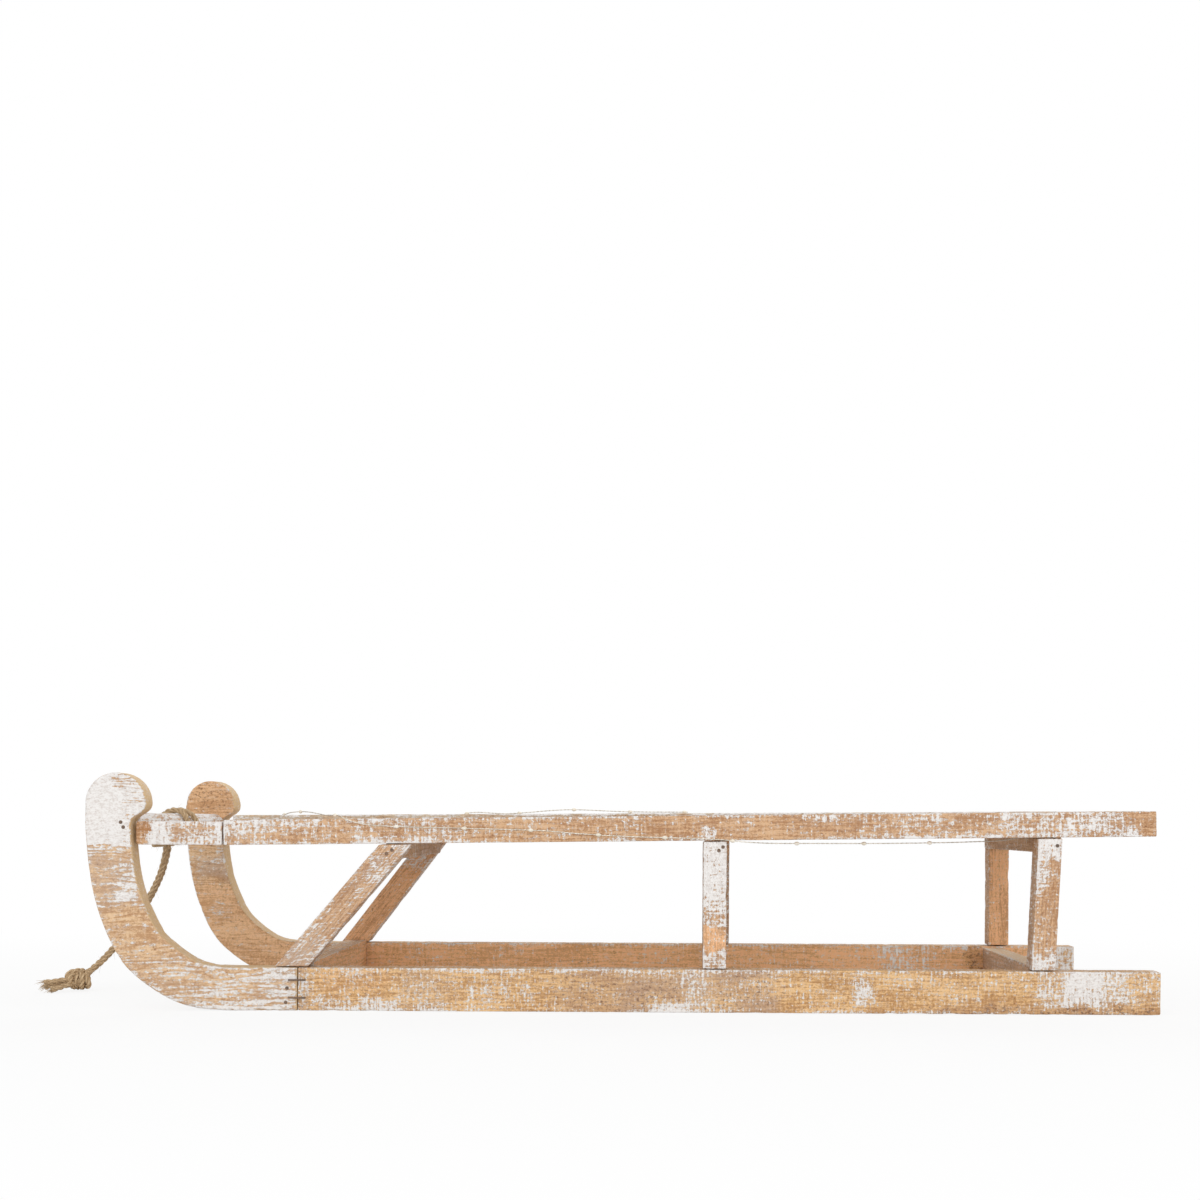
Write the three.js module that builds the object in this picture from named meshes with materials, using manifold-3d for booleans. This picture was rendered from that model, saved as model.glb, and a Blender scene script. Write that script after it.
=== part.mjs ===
// A small decorative sledge of rough wooden strips nailed together, with a jute pull rope and a string of
// lights.
// Millimetres, +Z up. The curled front is towards -X, and left and right are the rider's, so left is -Y.
// Everything is laid out with x = 0 at the front and z = 0 at the floor; the end of the file centres it on x.
import * as THREE from "three";
import { mergeVertices } from "three/addons/utils/BufferGeometryUtils.js";
import Module from "manifold-3d";

const wasm = await Module();
wasm.setup();

const degree = Math.PI / 180;
const left = -1;
const right = 1;
const sideNames = { [left]: "left", [right]: "right" };

// Clearances
const seatGap = 0.3; // between two pieces that rest on each other
const pinClearance = 0.2; // around a nail's or a staple's shank, and under a nail's head
const overrun = 1; // how far a cut runs past a face
const weldDistance = 1e-4; // between corners that are one

// Frame
const sledgeLength = 800;
const frameWidth = 253; // over the outer faces of rails, uprights and runner bars
const stripThickness = 18; // across the sledge
const runnerHeight = 32.4;
const railHeight = 19.2;
const railUnderside = 122.9; // above the floor, at the rails' front ends
const railRise = 0.84 * degree;
const railFront = 100.6; // where the rails begin, behind the front blocks
const railSetback = 3.6; // from the runners' rear ends to the rails'
const blockHeight = 17.9;

// Curled tips
const tipLength = 156.4;
const tipHeight = 176.5;
const tipThickness = 18.8;
const tipSplay = 2.4 * degree;
const neckWidth = 33;
const bendWidth = 34.8;
const headRadius = 22.4;
const shoulderEase = 9; // how long the head's curve runs into the neck
const shoulderDrop = 3; // of the head's curve below the blocks' tops
const neckTop = railUnderside + blockHeight - shoulderDrop;
const soleSteps = 30;
const headSteps = 20;
const shoulderSteps = 6;
// The tip's lower and front edge from the joint to its head, as shares of its length and height.
const soleShares = [
  [1, 0], [0.84, 0], [0.673, 0], [0.483, 0.02], [0.317, 0.093], [0.175, 0.206],
  [0.081, 0.373], [0.029, 0.541], [0.003, 0.739],
];

// Uprights between runners and rails
const strutWidth = 19.2;
const midPostWidth = 17.8;
const rearPostWidth = 18.2;
const leftStrutLead = 4.7; // of the left foot's middle before the tip's butt joint
const rightStrutLead = 2.7;
const strutFootLeads = { [left]: leftStrutLead, [right]: rightStrutLead };
const strutTopShares = { [left]: 0.2862, [right]: 0.2795 }; // of the sledge's length, as the next ones are
const midPostShares = { [left]: 0.584, [right]: 0.6012 };
const rearFootShares = { [left]: 0.8903, [right]: 0.9149 };
const rearTopShares = { [left]: 0.8963, [right]: 0.9149 };

// Cross members
const frontBarWidth = 19;
const frontBarHeight = 32;
const rearBarWidth = 18;
const rearBarHeight = 28;
const barClearance = 3; // under both lower cross members
const frontBarLead = 0.9; // of the front one's middle before the tip's butt joint
const rearBarShare = 0.908;
const battenWidth = 12;
const battenHeight = 21.7;
const battenShares = { front_batten: 0.2807, mid_batten: 0.5912, rear_batten: 0.90525 };
const dowelRadius = 10;
const dowelHeight = 137; // of its axis
const dowelSides = 24;

// Deck slats, numbered from the right
const slatWidths = [43.2, 41.2, 42.6, 40.4];
const slatFrontThicknesses = [10.6, 11, 10.8, 12.8];
const slatRearThickness = 9.6;
const slatFrontInsets = [0.8, -1.2, 0.4, -1.6];
const slatBed = 9.2; // of the slats' undersides below the rails' tops
// The gaps beside the slats, as shares of the width that the slats leave free.
const frontGapShares = [0.148, 0.152, 0.178, 0.232, 0.29];
const rearGapShares = [0.129, 0.251, 0.236, 0.201, 0.183];

// Nails and staples
const nailRadius = 0.75;
const nailHeadRadius = 1.4;
const nailHeadHeight = 0.7;
const nailPoint = 2.4;
const nailLength = 32;
const nailSides = 10;
const battenNailDrop = 6; // below the rail's underside
const battenNailStagger = 2.6;
const staplePlaces = [9.8, 23]; // above the floor
const stapleCrown = 12.8;
const stapleLeg = 9;
const stapleWire = 1.1;

// Jute pull rope
const ropeDiameter = 4.8;
const ropeSides = 10;
const ropeDivisions = 2000; // for finding places by length
const hitchCentre = 6.4; // right of the sledge's middle
const hitchSteps = 52;
const strandSteps = 14;
const ropeCut = 0.3; // between the free strands and what they meet
const knotSize = { x: 23, y: 21, z: 18.4 };
const knotCentre = { x: -52, y: -1, z: 9.6 };
const knotSides = 16;
const knotRings = 12;
const tailDiameter = 4.4;
const tailSides = 8;
const tailSteps = 6;

// Lights
const wireDiameter = 0.9;
const wireSides = 8;
const beadPitch = 50;
const beadDiameter = 2.8;
const beadLength = 4.6;
const beadLead = 60; // of wire before the first bead
const beadSides = 6;
const beadRings = 5;
const spanSteps = 2; // rings of the wire from point to point
const fineSteps = 60; // the same, for finding places by length

// Battery case
const cellDiameter = 20;
const cellThickness = 3.2;
const cellPlay = 0.4; // round a cell
const cellSides = 28;
const caseWall = 1.5;
const caseRoof = 1.3;
const caseStandoff = 2; // before the rear batten
const padThickness = 1;
const padMargin = 3;
const stripHeight = 0.3; // of the contact strip
const stripWidth = 6;
const coverThickness = 1.3;
const coverRunning = 0.25; // beside, above and below the sliding cover
const coverLap = 0.8; // of the cover over its two ledges
const ledgeHeight = 1;
const ridgeHeight = 0.7;
const ridgeWidth = 1.2;
const ridgeLength = 12;
const ridgeCount = 3;
const ridgePitch = 2.6;
const switchBay = 8.4; // along the case
const bayFloor = 1.2;
const knob = { x: 2.4, y: 4, z: 2.2 };
const switchTravel = 3;
const knobPlay = 0.3;
const flangeLap = 1.2;
const flangeHeight = 1;
const leadHole = 1.8; // diameter, where the wire enters the case

// Worked out from the sizes above
const halfWidth = frameWidth / 2;
const innerHalf = halfWidth - stripThickness;
const railLength = (sledgeLength - railSetback - railFront) / Math.cos(railRise);
const slatBottom = railHeight - slatBed;
const battenTop = slatBottom - seatGap;
const ropeRadius = ropeDiameter / 2;

const finishes = {
  tipWood: { color: 0xd8b58a, roughness: 0.85, metalness: 0 },
  runnerWood: { color: 0xcfa874, roughness: 0.85, metalness: 0 },
  railWood: { color: 0xd9bb95, roughness: 0.88, metalness: 0 },
  slatWood: { color: 0xd3c6ad, roughness: 0.9, metalness: 0 },
  darkWood: { color: 0x8d6840, roughness: 0.9, metalness: 0 },
  whiteWood: { color: 0xe9e4da, roughness: 0.8, metalness: 0 },
  steel: { color: 0x6d6a66, roughness: 0.45, metalness: 1 },
  jute: { color: 0xa9885c, roughness: 1, metalness: 0 },
  wire: { color: 0xb9b2a4, roughness: 0.35, metalness: 0.8 },
  plastic: { color: 0xe8e6e0, roughness: 0.5, metalness: 0 },
  cell: { color: 0xc4c4c2, roughness: 0.3, metalness: 1 },
  knob: { color: 0x2a2a2c, roughness: 0.5, metalness: 0 },
  foam: { color: 0xf2f0ea, roughness: 1, metalness: 0 },
};

const sledge = new THREE.Group();
const deck = new THREE.Group();
deck.position.set(railFront, 0, railUnderside);
deck.rotation.y = -railRise;
sledge.add(deck);
const pieces = {};

// Solids

function solidFrom(geometry) {
  const bare = geometry.index ? geometry.toNonIndexed() : geometry.clone();
  bare.deleteAttribute("normal");
  bare.deleteAttribute("uv");
  const merged = mergeVertices(bare, weldDistance);
  const corners = [];
  for (let i = 0; i < merged.index.count; i += 3) {
    const [a, b, c] = [merged.index.getX(i), merged.index.getX(i + 1), merged.index.getX(i + 2)];
    if (a !== b && b !== c && c !== a) corners.push(a, b, c);
  }
  return new wasm.Manifold(new wasm.Mesh({
    numProp: 3,
    vertProperties: merged.attributes.position.array,
    triVerts: new Uint32Array(corners),
  }));
}

function geometryFrom(solid) {
  const mesh = solid.getMesh();
  const geometry = new THREE.BufferGeometry();
  geometry.setAttribute("position", new THREE.BufferAttribute(mesh.vertProperties, 3));
  geometry.setIndex(new THREE.BufferAttribute(mesh.triVerts, 1));
  geometry.computeVertexNormals();
  return geometry;
}

function cutAway(geometry, cutters) {
  const whole = solidFrom(geometry);
  return geometryFrom(cutters.reduce((rest, cutter) => rest.subtract(solidFrom(cutter)), whole));
}

function joined(geometries) {
  return geometryFrom(geometries.map(solidFrom).reduce((whole, part) => whole.add(part)));
}

function box(low, high) {
  const size = high.map((value, i) => value - low[i]);
  const middle = high.map((value, i) => (value + low[i]) / 2);
  return new THREE.BoxGeometry(...size).translate(...middle);
}

// A board whose outline lies in the XZ plane, between two places across the sledge.
function board(outline, yLow, yHigh) {
  const shape = new THREE.Shape(outline.map(([x, z]) => new THREE.Vector2(x, z)));
  const geometry = new THREE.ExtrudeGeometry(shape, { depth: yHigh - yLow, bevelEnabled: false });
  return geometry.rotateX(Math.PI / 2).translate(0, yHigh, 0);
}

function sideBoard(outline, side) {
  const faces = [side * innerHalf, side * halfWidth];
  return board(outline, Math.min(...faces), Math.max(...faces));
}

// A tube round a curve; its rings stand at even steps of the curve's own parameter.
function tube(curve, diameter, sides, steps) {
  const circle = new THREE.EllipseCurve(0, 0, diameter / 2, diameter / 2);
  const ring = new THREE.Shape(circle.getPoints(sides).slice(0, sides));
  return new THREE.ExtrudeGeometry(ring, { steps, extrudePath: curve, bevelEnabled: false });
}

// A smooth curve through points, stepped from point to point and not by length, so that short bends keep
// their rings.
class Route extends THREE.CatmullRomCurve3 {
  constructor(points) {
    super(points.map((point) => new THREE.Vector3(...point)), false, "centripetal");
  }

  getUtoTmapping(share) {
    return share;
  }
}

// The stretch of a curve between two shares of its length.
class Stretch extends THREE.Curve {
  constructor(whole, start, end) {
    super();
    Object.assign(this, { whole, start, end });
  }

  getPoint(share, target) {
    return this.whole.getPointAt(this.start + (this.end - this.start) * share, target);
  }
}

// The length of a line of points up to each of them.
function runAlong(points) {
  const run = [0];
  for (let i = 1; i < points.length; i += 1) run.push(run[i - 1] + points[i].distanceTo(points[i - 1]));
  return run;
}

// The least gap between stretches of a tube that are more than a few diameters apart along it.
const apartShare = 4;
function selfGap(points, diameter) {
  const run = runAlong(points);
  let least = Infinity;
  for (let i = 0; i < points.length; i += 1) {
    for (let j = points.length - 1; run[j] - run[i] > apartShare * diameter; j -= 1) {
      least = Math.min(least, points[i].distanceTo(points[j]));
    }
  }
  return least - diameter;
}

function addPiece(parent, name, geometry, finish) {
  const mesh = new THREE.Mesh(geometry, new THREE.MeshStandardMaterial(finish));
  mesh.name = name;
  parent.add(mesh);
  pieces[name] = mesh;
  return mesh;
}

// Cuts the room for a driven nail or staple out of the pieces that it goes into.
function driveInto(fastener, holes, names) {
  sledge.updateMatrixWorld(true);
  for (const name of names) {
    const piece = pieces[name];
    const toPiece = piece.matrixWorld.clone().invert().multiply(fastener.matrixWorld);
    piece.geometry = cutAway(piece.geometry, holes.map((hole) => hole.clone().applyMatrix4(toPiece)));
  }
}

function railUndersideAt(x) {
  return railUnderside + (x - railFront) * Math.tan(railRise);
}

// The outer face of a tip or of the frame behind it.
function outerFaceAt(x) {
  return halfWidth + Math.max(0, tipLength - x) * Math.tan(tipSplay);
}

// Curled tips

function boardWidthAt(share) {
  const widths = [runnerHeight, runnerHeight, bendWidth, neckWidth, neckWidth];
  const place = share * (widths.length - 1);
  const before = Math.min(Math.floor(place), widths.length - 2);
  return THREE.MathUtils.lerp(widths[before], widths[before + 1], place - before);
}

function tipOutline() {
  const headMiddle = tipHeight - headRadius;
  const solePoints = soleShares.map(([along, up]) => new THREE.Vector2(along * tipLength, up * tipHeight));
  const sole = new THREE.SplineCurve([...solePoints, new THREE.Vector2(0, headMiddle)]);
  const outer = sole.getSpacedPoints(soleSteps);
  const inner = outer
    .map((point, i) => {
      const along = sole.getTangentAt(i / soleSteps);
      const across = new THREE.Vector2(along.y, -along.x);
      return point.clone().addScaledVector(across, boardWidthAt(i / soleSteps));
    })
    .filter((point) => point.y < neckTop);
  const neck = inner[inner.length - 1];
  const head = new THREE.EllipseCurve(headRadius, headMiddle, headRadius, headRadius, Math.PI, 0, true);
  const shoulder = new THREE.CubicBezierCurve(
    new THREE.Vector2(2 * headRadius, headMiddle),
    new THREE.Vector2(2 * headRadius, headMiddle - shoulderEase),
    new THREE.Vector2(neck.x, neckTop + shoulderEase),
    new THREE.Vector2(neck.x, neckTop),
  );
  const top = [...head.getPoints(headSteps), ...shoulder.getPoints(shoulderSteps).slice(1)];
  const rim = [...outer.slice(0, -1), ...top, ...inner.reverse()];
  // The curve would bulge a little past its flat stretches.
  return rim.map((point) => [Math.max(0, point.x), Math.max(0, point.y)]);
}

const tipPoints = tipOutline();

for (const side of [left, right]) {
  const local = tipPoints.map(([x, z]) => [x - tipLength, z]);
  const faces = [0, -side * tipThickness];
  const geometry = board(local, Math.min(...faces), Math.max(...faces));
  const tip = addPiece(sledge, `runner_tip_${sideNames[side]}`, geometry, finishes.tipWood);
  tip.position.set(tipLength, side * halfWidth, 0);
  tip.rotation.z = -side * tipSplay;
}

// Runner bars, front blocks and rails

function rectangle(x0, x1, z0, z1) {
  return [[x0, z0], [x1, z0], [x1, z1], [x0, z1]];
}

const blockTop = railUnderside + blockHeight;
const neckRear = Math.max(...tipPoints
  .filter(([x, z]) => x < tipLength / 2 && z > railUnderside - blockHeight / 2 && z < blockTop + seatGap)
  .map(([x]) => x));
const blockFront = tipLength - (tipLength - neckRear) * Math.cos(tipSplay) + seatGap;
const blockRear = railFront - railHeight * Math.sin(railRise) - seatGap;

for (const side of [left, right]) {
  const bar = rectangle(tipLength + seatGap, sledgeLength, 0, runnerHeight);
  const block = rectangle(blockFront, blockRear, railUnderside, blockTop);
  const rail = rectangle(0, railLength, 0, railHeight);
  addPiece(sledge, `runner_bar_${sideNames[side]}`, sideBoard(bar, side), finishes.runnerWood);
  addPiece(sledge, `rail_block_${sideNames[side]}`, sideBoard(block, side), finishes.railWood);
  addPiece(deck, `deck_rail_${sideNames[side]}`, sideBoard(rail, side), finishes.railWood);
}

// Struts and posts

function addUpright(name, side, footX, topX, width) {
  const foot = runnerHeight + seatGap;
  const lean = Math.atan2(topX - footX, railUndersideAt(topX) - foot);
  const half = width / Math.cos(lean) / 2;
  const outline = [
    [footX - half, foot],
    [footX + half, foot],
    [topX + half, railUndersideAt(topX + half) - seatGap],
    [topX - half, railUndersideAt(topX - half) - seatGap],
  ];
  addPiece(sledge, name, sideBoard(outline, side), finishes.railWood);
  return { name, side, topX, lean, half };
}

const uprights = [left, right].flatMap((side) => {
  const strutFoot = tipLength - strutFootLeads[side];
  const [strutTop, midPost] = [strutTopShares[side] * sledgeLength, midPostShares[side] * sledgeLength];
  const [rearFoot, rearTop] = [rearFootShares[side] * sledgeLength, rearTopShares[side] * sledgeLength];
  const strut = addUpright(`strut_${sideNames[side]}`, side, strutFoot, strutTop, strutWidth);
  const middle = addUpright(`mid_post_${sideNames[side]}`, side, midPost, midPost, midPostWidth);
  const rear = addUpright(`rear_post_${sideNames[side]}`, side, rearFoot, rearTop, rearPostWidth);
  return [
    { batten: "front_batten", nails: 2, ...strut },
    { batten: "mid_batten", nails: 2, ...middle },
    { batten: "rear_batten", nails: 1, ...rear },
  ];
});

// Cross members and battens

const frontBarX = tipLength - frontBarLead;
const rearBarX = rearBarShare * sledgeLength;
const frontBarHalf = halfWidth - Math.max(stripThickness, tipThickness) - seatGap;
const railSpan = innerHalf - seatGap;

addPiece(sledge, "front_cross_member", box(
  [frontBarX - frontBarWidth / 2, -frontBarHalf, barClearance],
  [frontBarX + frontBarWidth / 2, frontBarHalf, barClearance + frontBarHeight],
), finishes.runnerWood);
addPiece(sledge, "rear_cross_member", box(
  [rearBarX - rearBarWidth / 2, -railSpan, barClearance],
  [rearBarX + rearBarWidth / 2, railSpan, barClearance + rearBarHeight],
), finishes.darkWood);

const battenX = {};
for (const [name, share] of Object.entries(battenShares)) {
  battenX[name] = share * sledgeLength;
  const middle = (battenX[name] - railFront) / Math.cos(railRise);
  addPiece(deck, name, box(
    [middle - battenWidth / 2, -railSpan, battenTop - battenHeight],
    [middle + battenWidth / 2, railSpan, battenTop],
  ), finishes.railWood);
}

// Dowel between the necks, just clear of the blocks behind it. Its ends are square, and the tips stand
// closest at its rear edge.
const dowelRear = blockFront - seatGap;
const dowelSetback = dowelRear - dowelRadius;
const tipInnerAt = (x) => outerFaceAt(x) - tipThickness / Math.cos(tipSplay);
const dowelHalf = tipInnerAt(dowelRear) - seatGap;
const dowel = addPiece(
  sledge,
  "dowel_crossbar",
  new THREE.CylinderGeometry(dowelRadius, dowelRadius, 2 * dowelHalf, dowelSides),
  finishes.whiteWood,
);
dowel.position.set(dowelSetback, 0, dowelHeight);

// Deck slats

const freeWidth = 2 * innerHalf - slatWidths.reduce((sum, width) => sum + width, 0);

// The middle of a slat across the sledge, with the gaps and slats counted from the right.
function slatMiddle(index, gapShares) {
  const gaps = gapShares.slice(0, index + 1).reduce((sum, share) => sum + share * freeWidth, 0);
  const slats = slatWidths.slice(0, index).reduce((sum, width) => sum + width, 0);
  return innerHalf - gaps - slats - slatWidths[index] / 2;
}

function slatGeometry(index) {
  const ends = [
    [slatFrontInsets[index], slatMiddle(index, frontGapShares), slatFrontThicknesses[index]],
    [railLength, slatMiddle(index, rearGapShares), slatRearThickness],
  ];
  const half = slatWidths[index] / 2;
  const points = ends.flatMap(([x, middle, thickness]) => [
    x, middle - half, slatBottom,
    x, middle + half, slatBottom,
    x, middle + half, slatBottom + thickness,
    x, middle - half, slatBottom + thickness,
  ]);
  const quads = [[0, 3, 2, 1], [4, 5, 6, 7], [0, 1, 5, 4], [1, 2, 6, 5], [2, 3, 7, 6], [3, 0, 4, 7]];
  const corners = quads.flatMap(([a, b, c, d]) => [a, b, c, a, c, d]);
  const geometry = new THREE.BufferGeometry();
  geometry.setAttribute("position", new THREE.Float32BufferAttribute(points, 3));
  geometry.setIndex(corners);
  geometry.computeVertexNormals();
  return geometry;
}

slatWidths.forEach((width, index) => {
  addPiece(deck, `slat_${index + 1}`, slatGeometry(index), finishes.slatWood);
});

// Nails, driven across the sledge from outside with their heads flush

function nailGeometry(play, above) {
  const profile = [
    [0, -nailLength - play],
    [nailRadius + play, nailPoint - nailLength - play],
    [nailRadius + play, -nailHeadHeight - play],
    [nailHeadRadius + play, -nailHeadHeight - play],
    [nailHeadRadius + play, above],
    [0, above],
  ];
  const points = profile.map(([radius, along]) => new THREE.Vector2(radius, along));
  return geometryFrom(solidFrom(new THREE.LatheGeometry(points, nailSides)));
}

function turnOut(fastener, side) {
  fastener.rotation.x = side === right ? 0 : Math.PI;
}

function addNail(name, side, x, z, names) {
  const nail = addPiece(sledge, name, nailGeometry(0, 0), finishes.steel);
  nail.position.set(x, side * outerFaceAt(x), z);
  turnOut(nail, side);
  driveInto(nail, [nailGeometry(pinClearance, overrun)], names);
}

// Two nails from each neck into the dowel's end, as shares of its radius from its axis.
const dowelNailShares = [[0.11, 0.27], [0.3, -0.1]];
// Two from each tip into the front cross member, as shares of their way along the tip and up the runner.
const jointNailShares = [[0.953, 0.52], [0.947, 0.19]];

for (const side of [left, right]) {
  const tip = `runner_tip_${sideNames[side]}`;
  dowelNailShares.forEach(([along, up], i) => {
    const [x, z] = [dowelSetback + along * dowelRadius, dowelHeight + up * dowelRadius];
    addNail(`nail_neck_${sideNames[side]}_${i + 1}`, side, x, z, [tip, "dowel_crossbar"]);
  });
  jointNailShares.forEach(([along, up], i) => {
    const [x, z] = [along * tipLength, up * runnerHeight];
    addNail(`nail_joint_${sideNames[side]}_${i + 1}`, side, x, z, [tip, "front_cross_member"]);
  });
}

for (const { name, side, topX, lean, half, batten, nails } of uprights) {
  const middle = topX - battenNailDrop * Math.tan(lean);
  const low = Math.max(middle - half, battenX[batten] - battenWidth / 2);
  const high = Math.min(middle + half, battenX[batten] + battenWidth / 2);
  for (let i = 1; i <= nails; i += 1) {
    const x = low + ((high - low) * i) / (nails + 1);
    const z = railUndersideAt(x) - battenNailDrop + (i - (nails + 1) / 2) * battenNailStagger;
    addNail(`nail_${name}_${i}`, side, x, z, [name, batten]);
  }
}

// Staples across the runners' butt joints, with their crowns on the outer faces

function stapleGeometry() {
  const [half, wire] = [stapleCrown / 2, stapleWire];
  const outline = [
    [-half, 0], [-half, -stapleLeg], [wire - half, -stapleLeg], [wire - half, -wire],
    [half - wire, -wire], [half - wire, -stapleLeg], [half, -stapleLeg], [half, 0],
  ];
  const shape = new THREE.Shape(outline.map(([x, y]) => new THREE.Vector2(x, y)));
  return new THREE.ExtrudeGeometry(shape, { depth: wire, bevelEnabled: false }).translate(0, 0, -wire / 2);
}

function stapleHoles() {
  const [half, thick] = [stapleCrown / 2, stapleWire / 2 + pinClearance];
  return [-1, 1].map((end) => {
    const middle = end * (half - stapleWire / 2);
    return box([middle - thick, -stapleLeg - pinClearance, -thick], [middle + thick, overrun, thick]);
  });
}

for (const side of [left, right]) {
  staplePlaces.forEach((height, i) => {
    const staple = addPiece(sledge, `staple_${sideNames[side]}_${i + 1}`, stapleGeometry(), finishes.steel);
    const face = outerFaceAt(tipLength - stapleCrown / 2);
    staple.position.set(tipLength, side * (face + seatGap + stapleWire), height);
    turnOut(staple, side);
    driveInto(staple, stapleHoles(), [`runner_tip_${sideNames[side]}`, `runner_bar_${sideNames[side]}`]);
  });
}

// Jute rope: one rope from the knot up, round the dowel as a lark's head, and back down to the knot.
// Round the dowel a point is [degrees up from the rear, distance right of the hitch's middle].
const wrapRadius = dowelRadius + ropeRadius + seatGap;
const wrapTurns = [[215, 4.6], [180, 5.2], [135, 5.9], [90, 7], [45, 10], [0, 14], [-45, 18], [-80, 20.8]];
// Under the dowel, from the wrap's end round to the middle of the bight in front: each point is
// [forward of the axis, distance right, below it].
const bightPoints = [[6.7, 21.6, 14.7], [12.6, 18.4, 15.6], [14.4, 10, 15.8]];
const bightMiddle = [14.6, 0, 15.8];
// The free strands' middle line, from behind the bight down to the knot, and how far each strand is from it.
const strandPoints = [
  [17.2, 6.4, 121.5], [16.4, 6.3, 113], [12.4, 5.6, 97], [4, 4.4, 78],
  [-8, 3, 58], [-21, 1.6, 40], [-33, 0.4, 26], [-43.4, -0.5, 16.5],
];
const strandSpreads = [4, 3.2, 2.75, 2.7, 2.7, 2.7, 2.7, 2.7];

function halfRope(side) {
  const strand = strandPoints.map(([x, y, z], i) => [x, y + side * strandSpreads[i], z]);
  const wrap = wrapTurns.map(([turn, away]) => [
    dowelSetback + wrapRadius * Math.cos(turn * degree),
    hitchCentre + side * away,
    dowelHeight + wrapRadius * Math.sin(turn * degree),
  ]);
  const bight = bightPoints.map(([ahead, away, below]) => [
    dowelSetback - ahead,
    hitchCentre + side * away,
    dowelHeight - below,
  ]);
  return [...strand.reverse(), ...wrap, ...bight];
}

const [bightAhead, , bightBelow] = bightMiddle;
const rope = new THREE.CatmullRomCurve3([
  ...halfRope(right),
  [dowelSetback - bightAhead, hitchCentre, dowelHeight - bightBelow],
  ...halfRope(left).reverse(),
].map((point) => new THREE.Vector3(...point)), false, "centripetal");
rope.arcLengthDivisions = ropeDivisions;
const ropeLength = rope.getLength();

// A strand ends behind the bight's lower edge, where the hitch begins.
const strandShare = (() => {
  const end = strandPoints[1][2];
  let share = 0;
  while (rope.getPointAt(share).z < end) share += 1 / ropeDivisions;
  return share;
})();
const cutShare = ropeCut / ropeLength;
const ropeStretches = [
  ["rope_strand_right", 0, strandShare - cutShare, strandSteps],
  ["rope_hitch", strandShare, 1 - strandShare, hitchSteps],
  ["rope_strand_left", 1 - strandShare + cutShare, 1, strandSteps],
];
for (const [name, start, end, steps] of ropeStretches) {
  addPiece(sledge, name, tube(new Stretch(rope, start, end), ropeDiameter, ropeSides, steps), finishes.jute);
}

// The overhand knot on the floor, with three frayed tails.
const knotTails = [
  [[-54, -4, 10], [-62, -9, 9.6], [-70, -13, 8.6], [-77, -16, 8]],
  [[-54, -2, 8], [-64, -5, 6.6], [-73, -7, 5], [-80, -8.4, 3.6]],
  [[-53, -5, 7], [-60, -13, 5], [-65, -19, 3.4], [-68.5, -23, 2.8]],
];
const knotBall = new THREE.SphereGeometry(1 / 2, knotSides, knotRings);
knotBall.scale(knotSize.x, knotSize.y, knotSize.z);
knotBall.translate(knotCentre.x, knotCentre.y, knotCentre.z);
addPiece(sledge, "rope_knot", joined([
  knotBall,
  ...knotTails.map((points) => tube(new Route(points), tailDiameter, tailSides, tailSteps)),
]), finishes.jute);

// Battery case under the slat beside the left rail, with its cover sliding out forwards. Its own frame has
// its front end at x = 0, its middle at y = 0 and its roof at z = 0.
const pocketHalf = cellDiameter / 2 + cellPlay;
const pocketLength = 2 * cellDiameter + 3 * cellPlay;
const coverHalf = pocketHalf + coverLap;
const coverTop = -(caseRoof + 2 * seatGap + stripHeight + cellThickness + coverRunning);
const coverBottom = coverTop - coverThickness;
const caseBottom = coverBottom - coverRunning - ledgeHeight;
const caseHalf = coverHalf + coverRunning + caseWall;
const pocketEnd = caseWall + pocketLength;
const bayFront = pocketEnd + caseWall;
const caseLength = bayFront + switchBay + caseWall;
const lastSlat = slatWidths.length - 1;
const rearBattenFront = (battenX.rear_batten - railFront) / Math.cos(railRise) - battenWidth / 2;
const caseFront = rearBattenFront - caseStandoff - caseLength;
const caseShare = (caseFront + caseLength / 2) / railLength;
const caseMiddle = THREE.MathUtils.lerp(
  slatMiddle(lastSlat, frontGapShares),
  slatMiddle(lastSlat, rearGapShares),
  caseShare,
);
const battery = new THREE.Group();
battery.position.set(caseFront, caseMiddle, slatBottom - padThickness - 2 * seatGap);
deck.add(battery);

const bayMiddle = bayFront + switchBay / 2;
const slotHalf = { x: knob.x / 2 + knobPlay, y: (knob.y + switchTravel) / 2 + knobPlay };
const leadHeight = -(caseRoof + leadHole);
const leadCut = new THREE.CylinderGeometry(leadHole / 2, leadHole / 2, caseHalf, nailSides);
leadCut.translate(bayMiddle, -caseHalf, leadHeight);

addPiece(battery, "battery_case", cutAway(
  box([0, -caseHalf, caseBottom], [caseLength, caseHalf, 0]),
  [
    box([caseWall, -pocketHalf, caseBottom - overrun], [pocketEnd, pocketHalf, -caseRoof]),
    box([-overrun, -pocketHalf, caseBottom - overrun], [pocketEnd, pocketHalf, coverTop + coverRunning]),
    box(
      [-overrun, -coverHalf - coverRunning, coverBottom - coverRunning],
      [pocketEnd, coverHalf + coverRunning, coverTop + coverRunning],
    ),
    box([bayFront, -pocketHalf, caseBottom + bayFloor], [bayFront + switchBay, pocketHalf, -caseRoof]),
    box(
      [bayMiddle - slotHalf.x, -slotHalf.y, caseBottom - overrun],
      [bayMiddle + slotHalf.x, slotHalf.y, caseBottom + bayFloor + overrun],
    ),
    leadCut,
  ],
), finishes.plastic);

const ridges = Array.from({ length: ridgeCount }, (_, i) => {
  const x = (i + 1) * ridgePitch;
  return box([x, -ridgeLength / 2, coverBottom - ridgeHeight], [x + ridgeWidth, ridgeLength / 2, coverTop]);
});
addPiece(battery, "battery_cover", joined([
  box([0, -coverHalf, coverBottom], [pocketEnd - coverRunning, coverHalf, coverTop]),
  ...ridges,
]), finishes.plastic);

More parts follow.
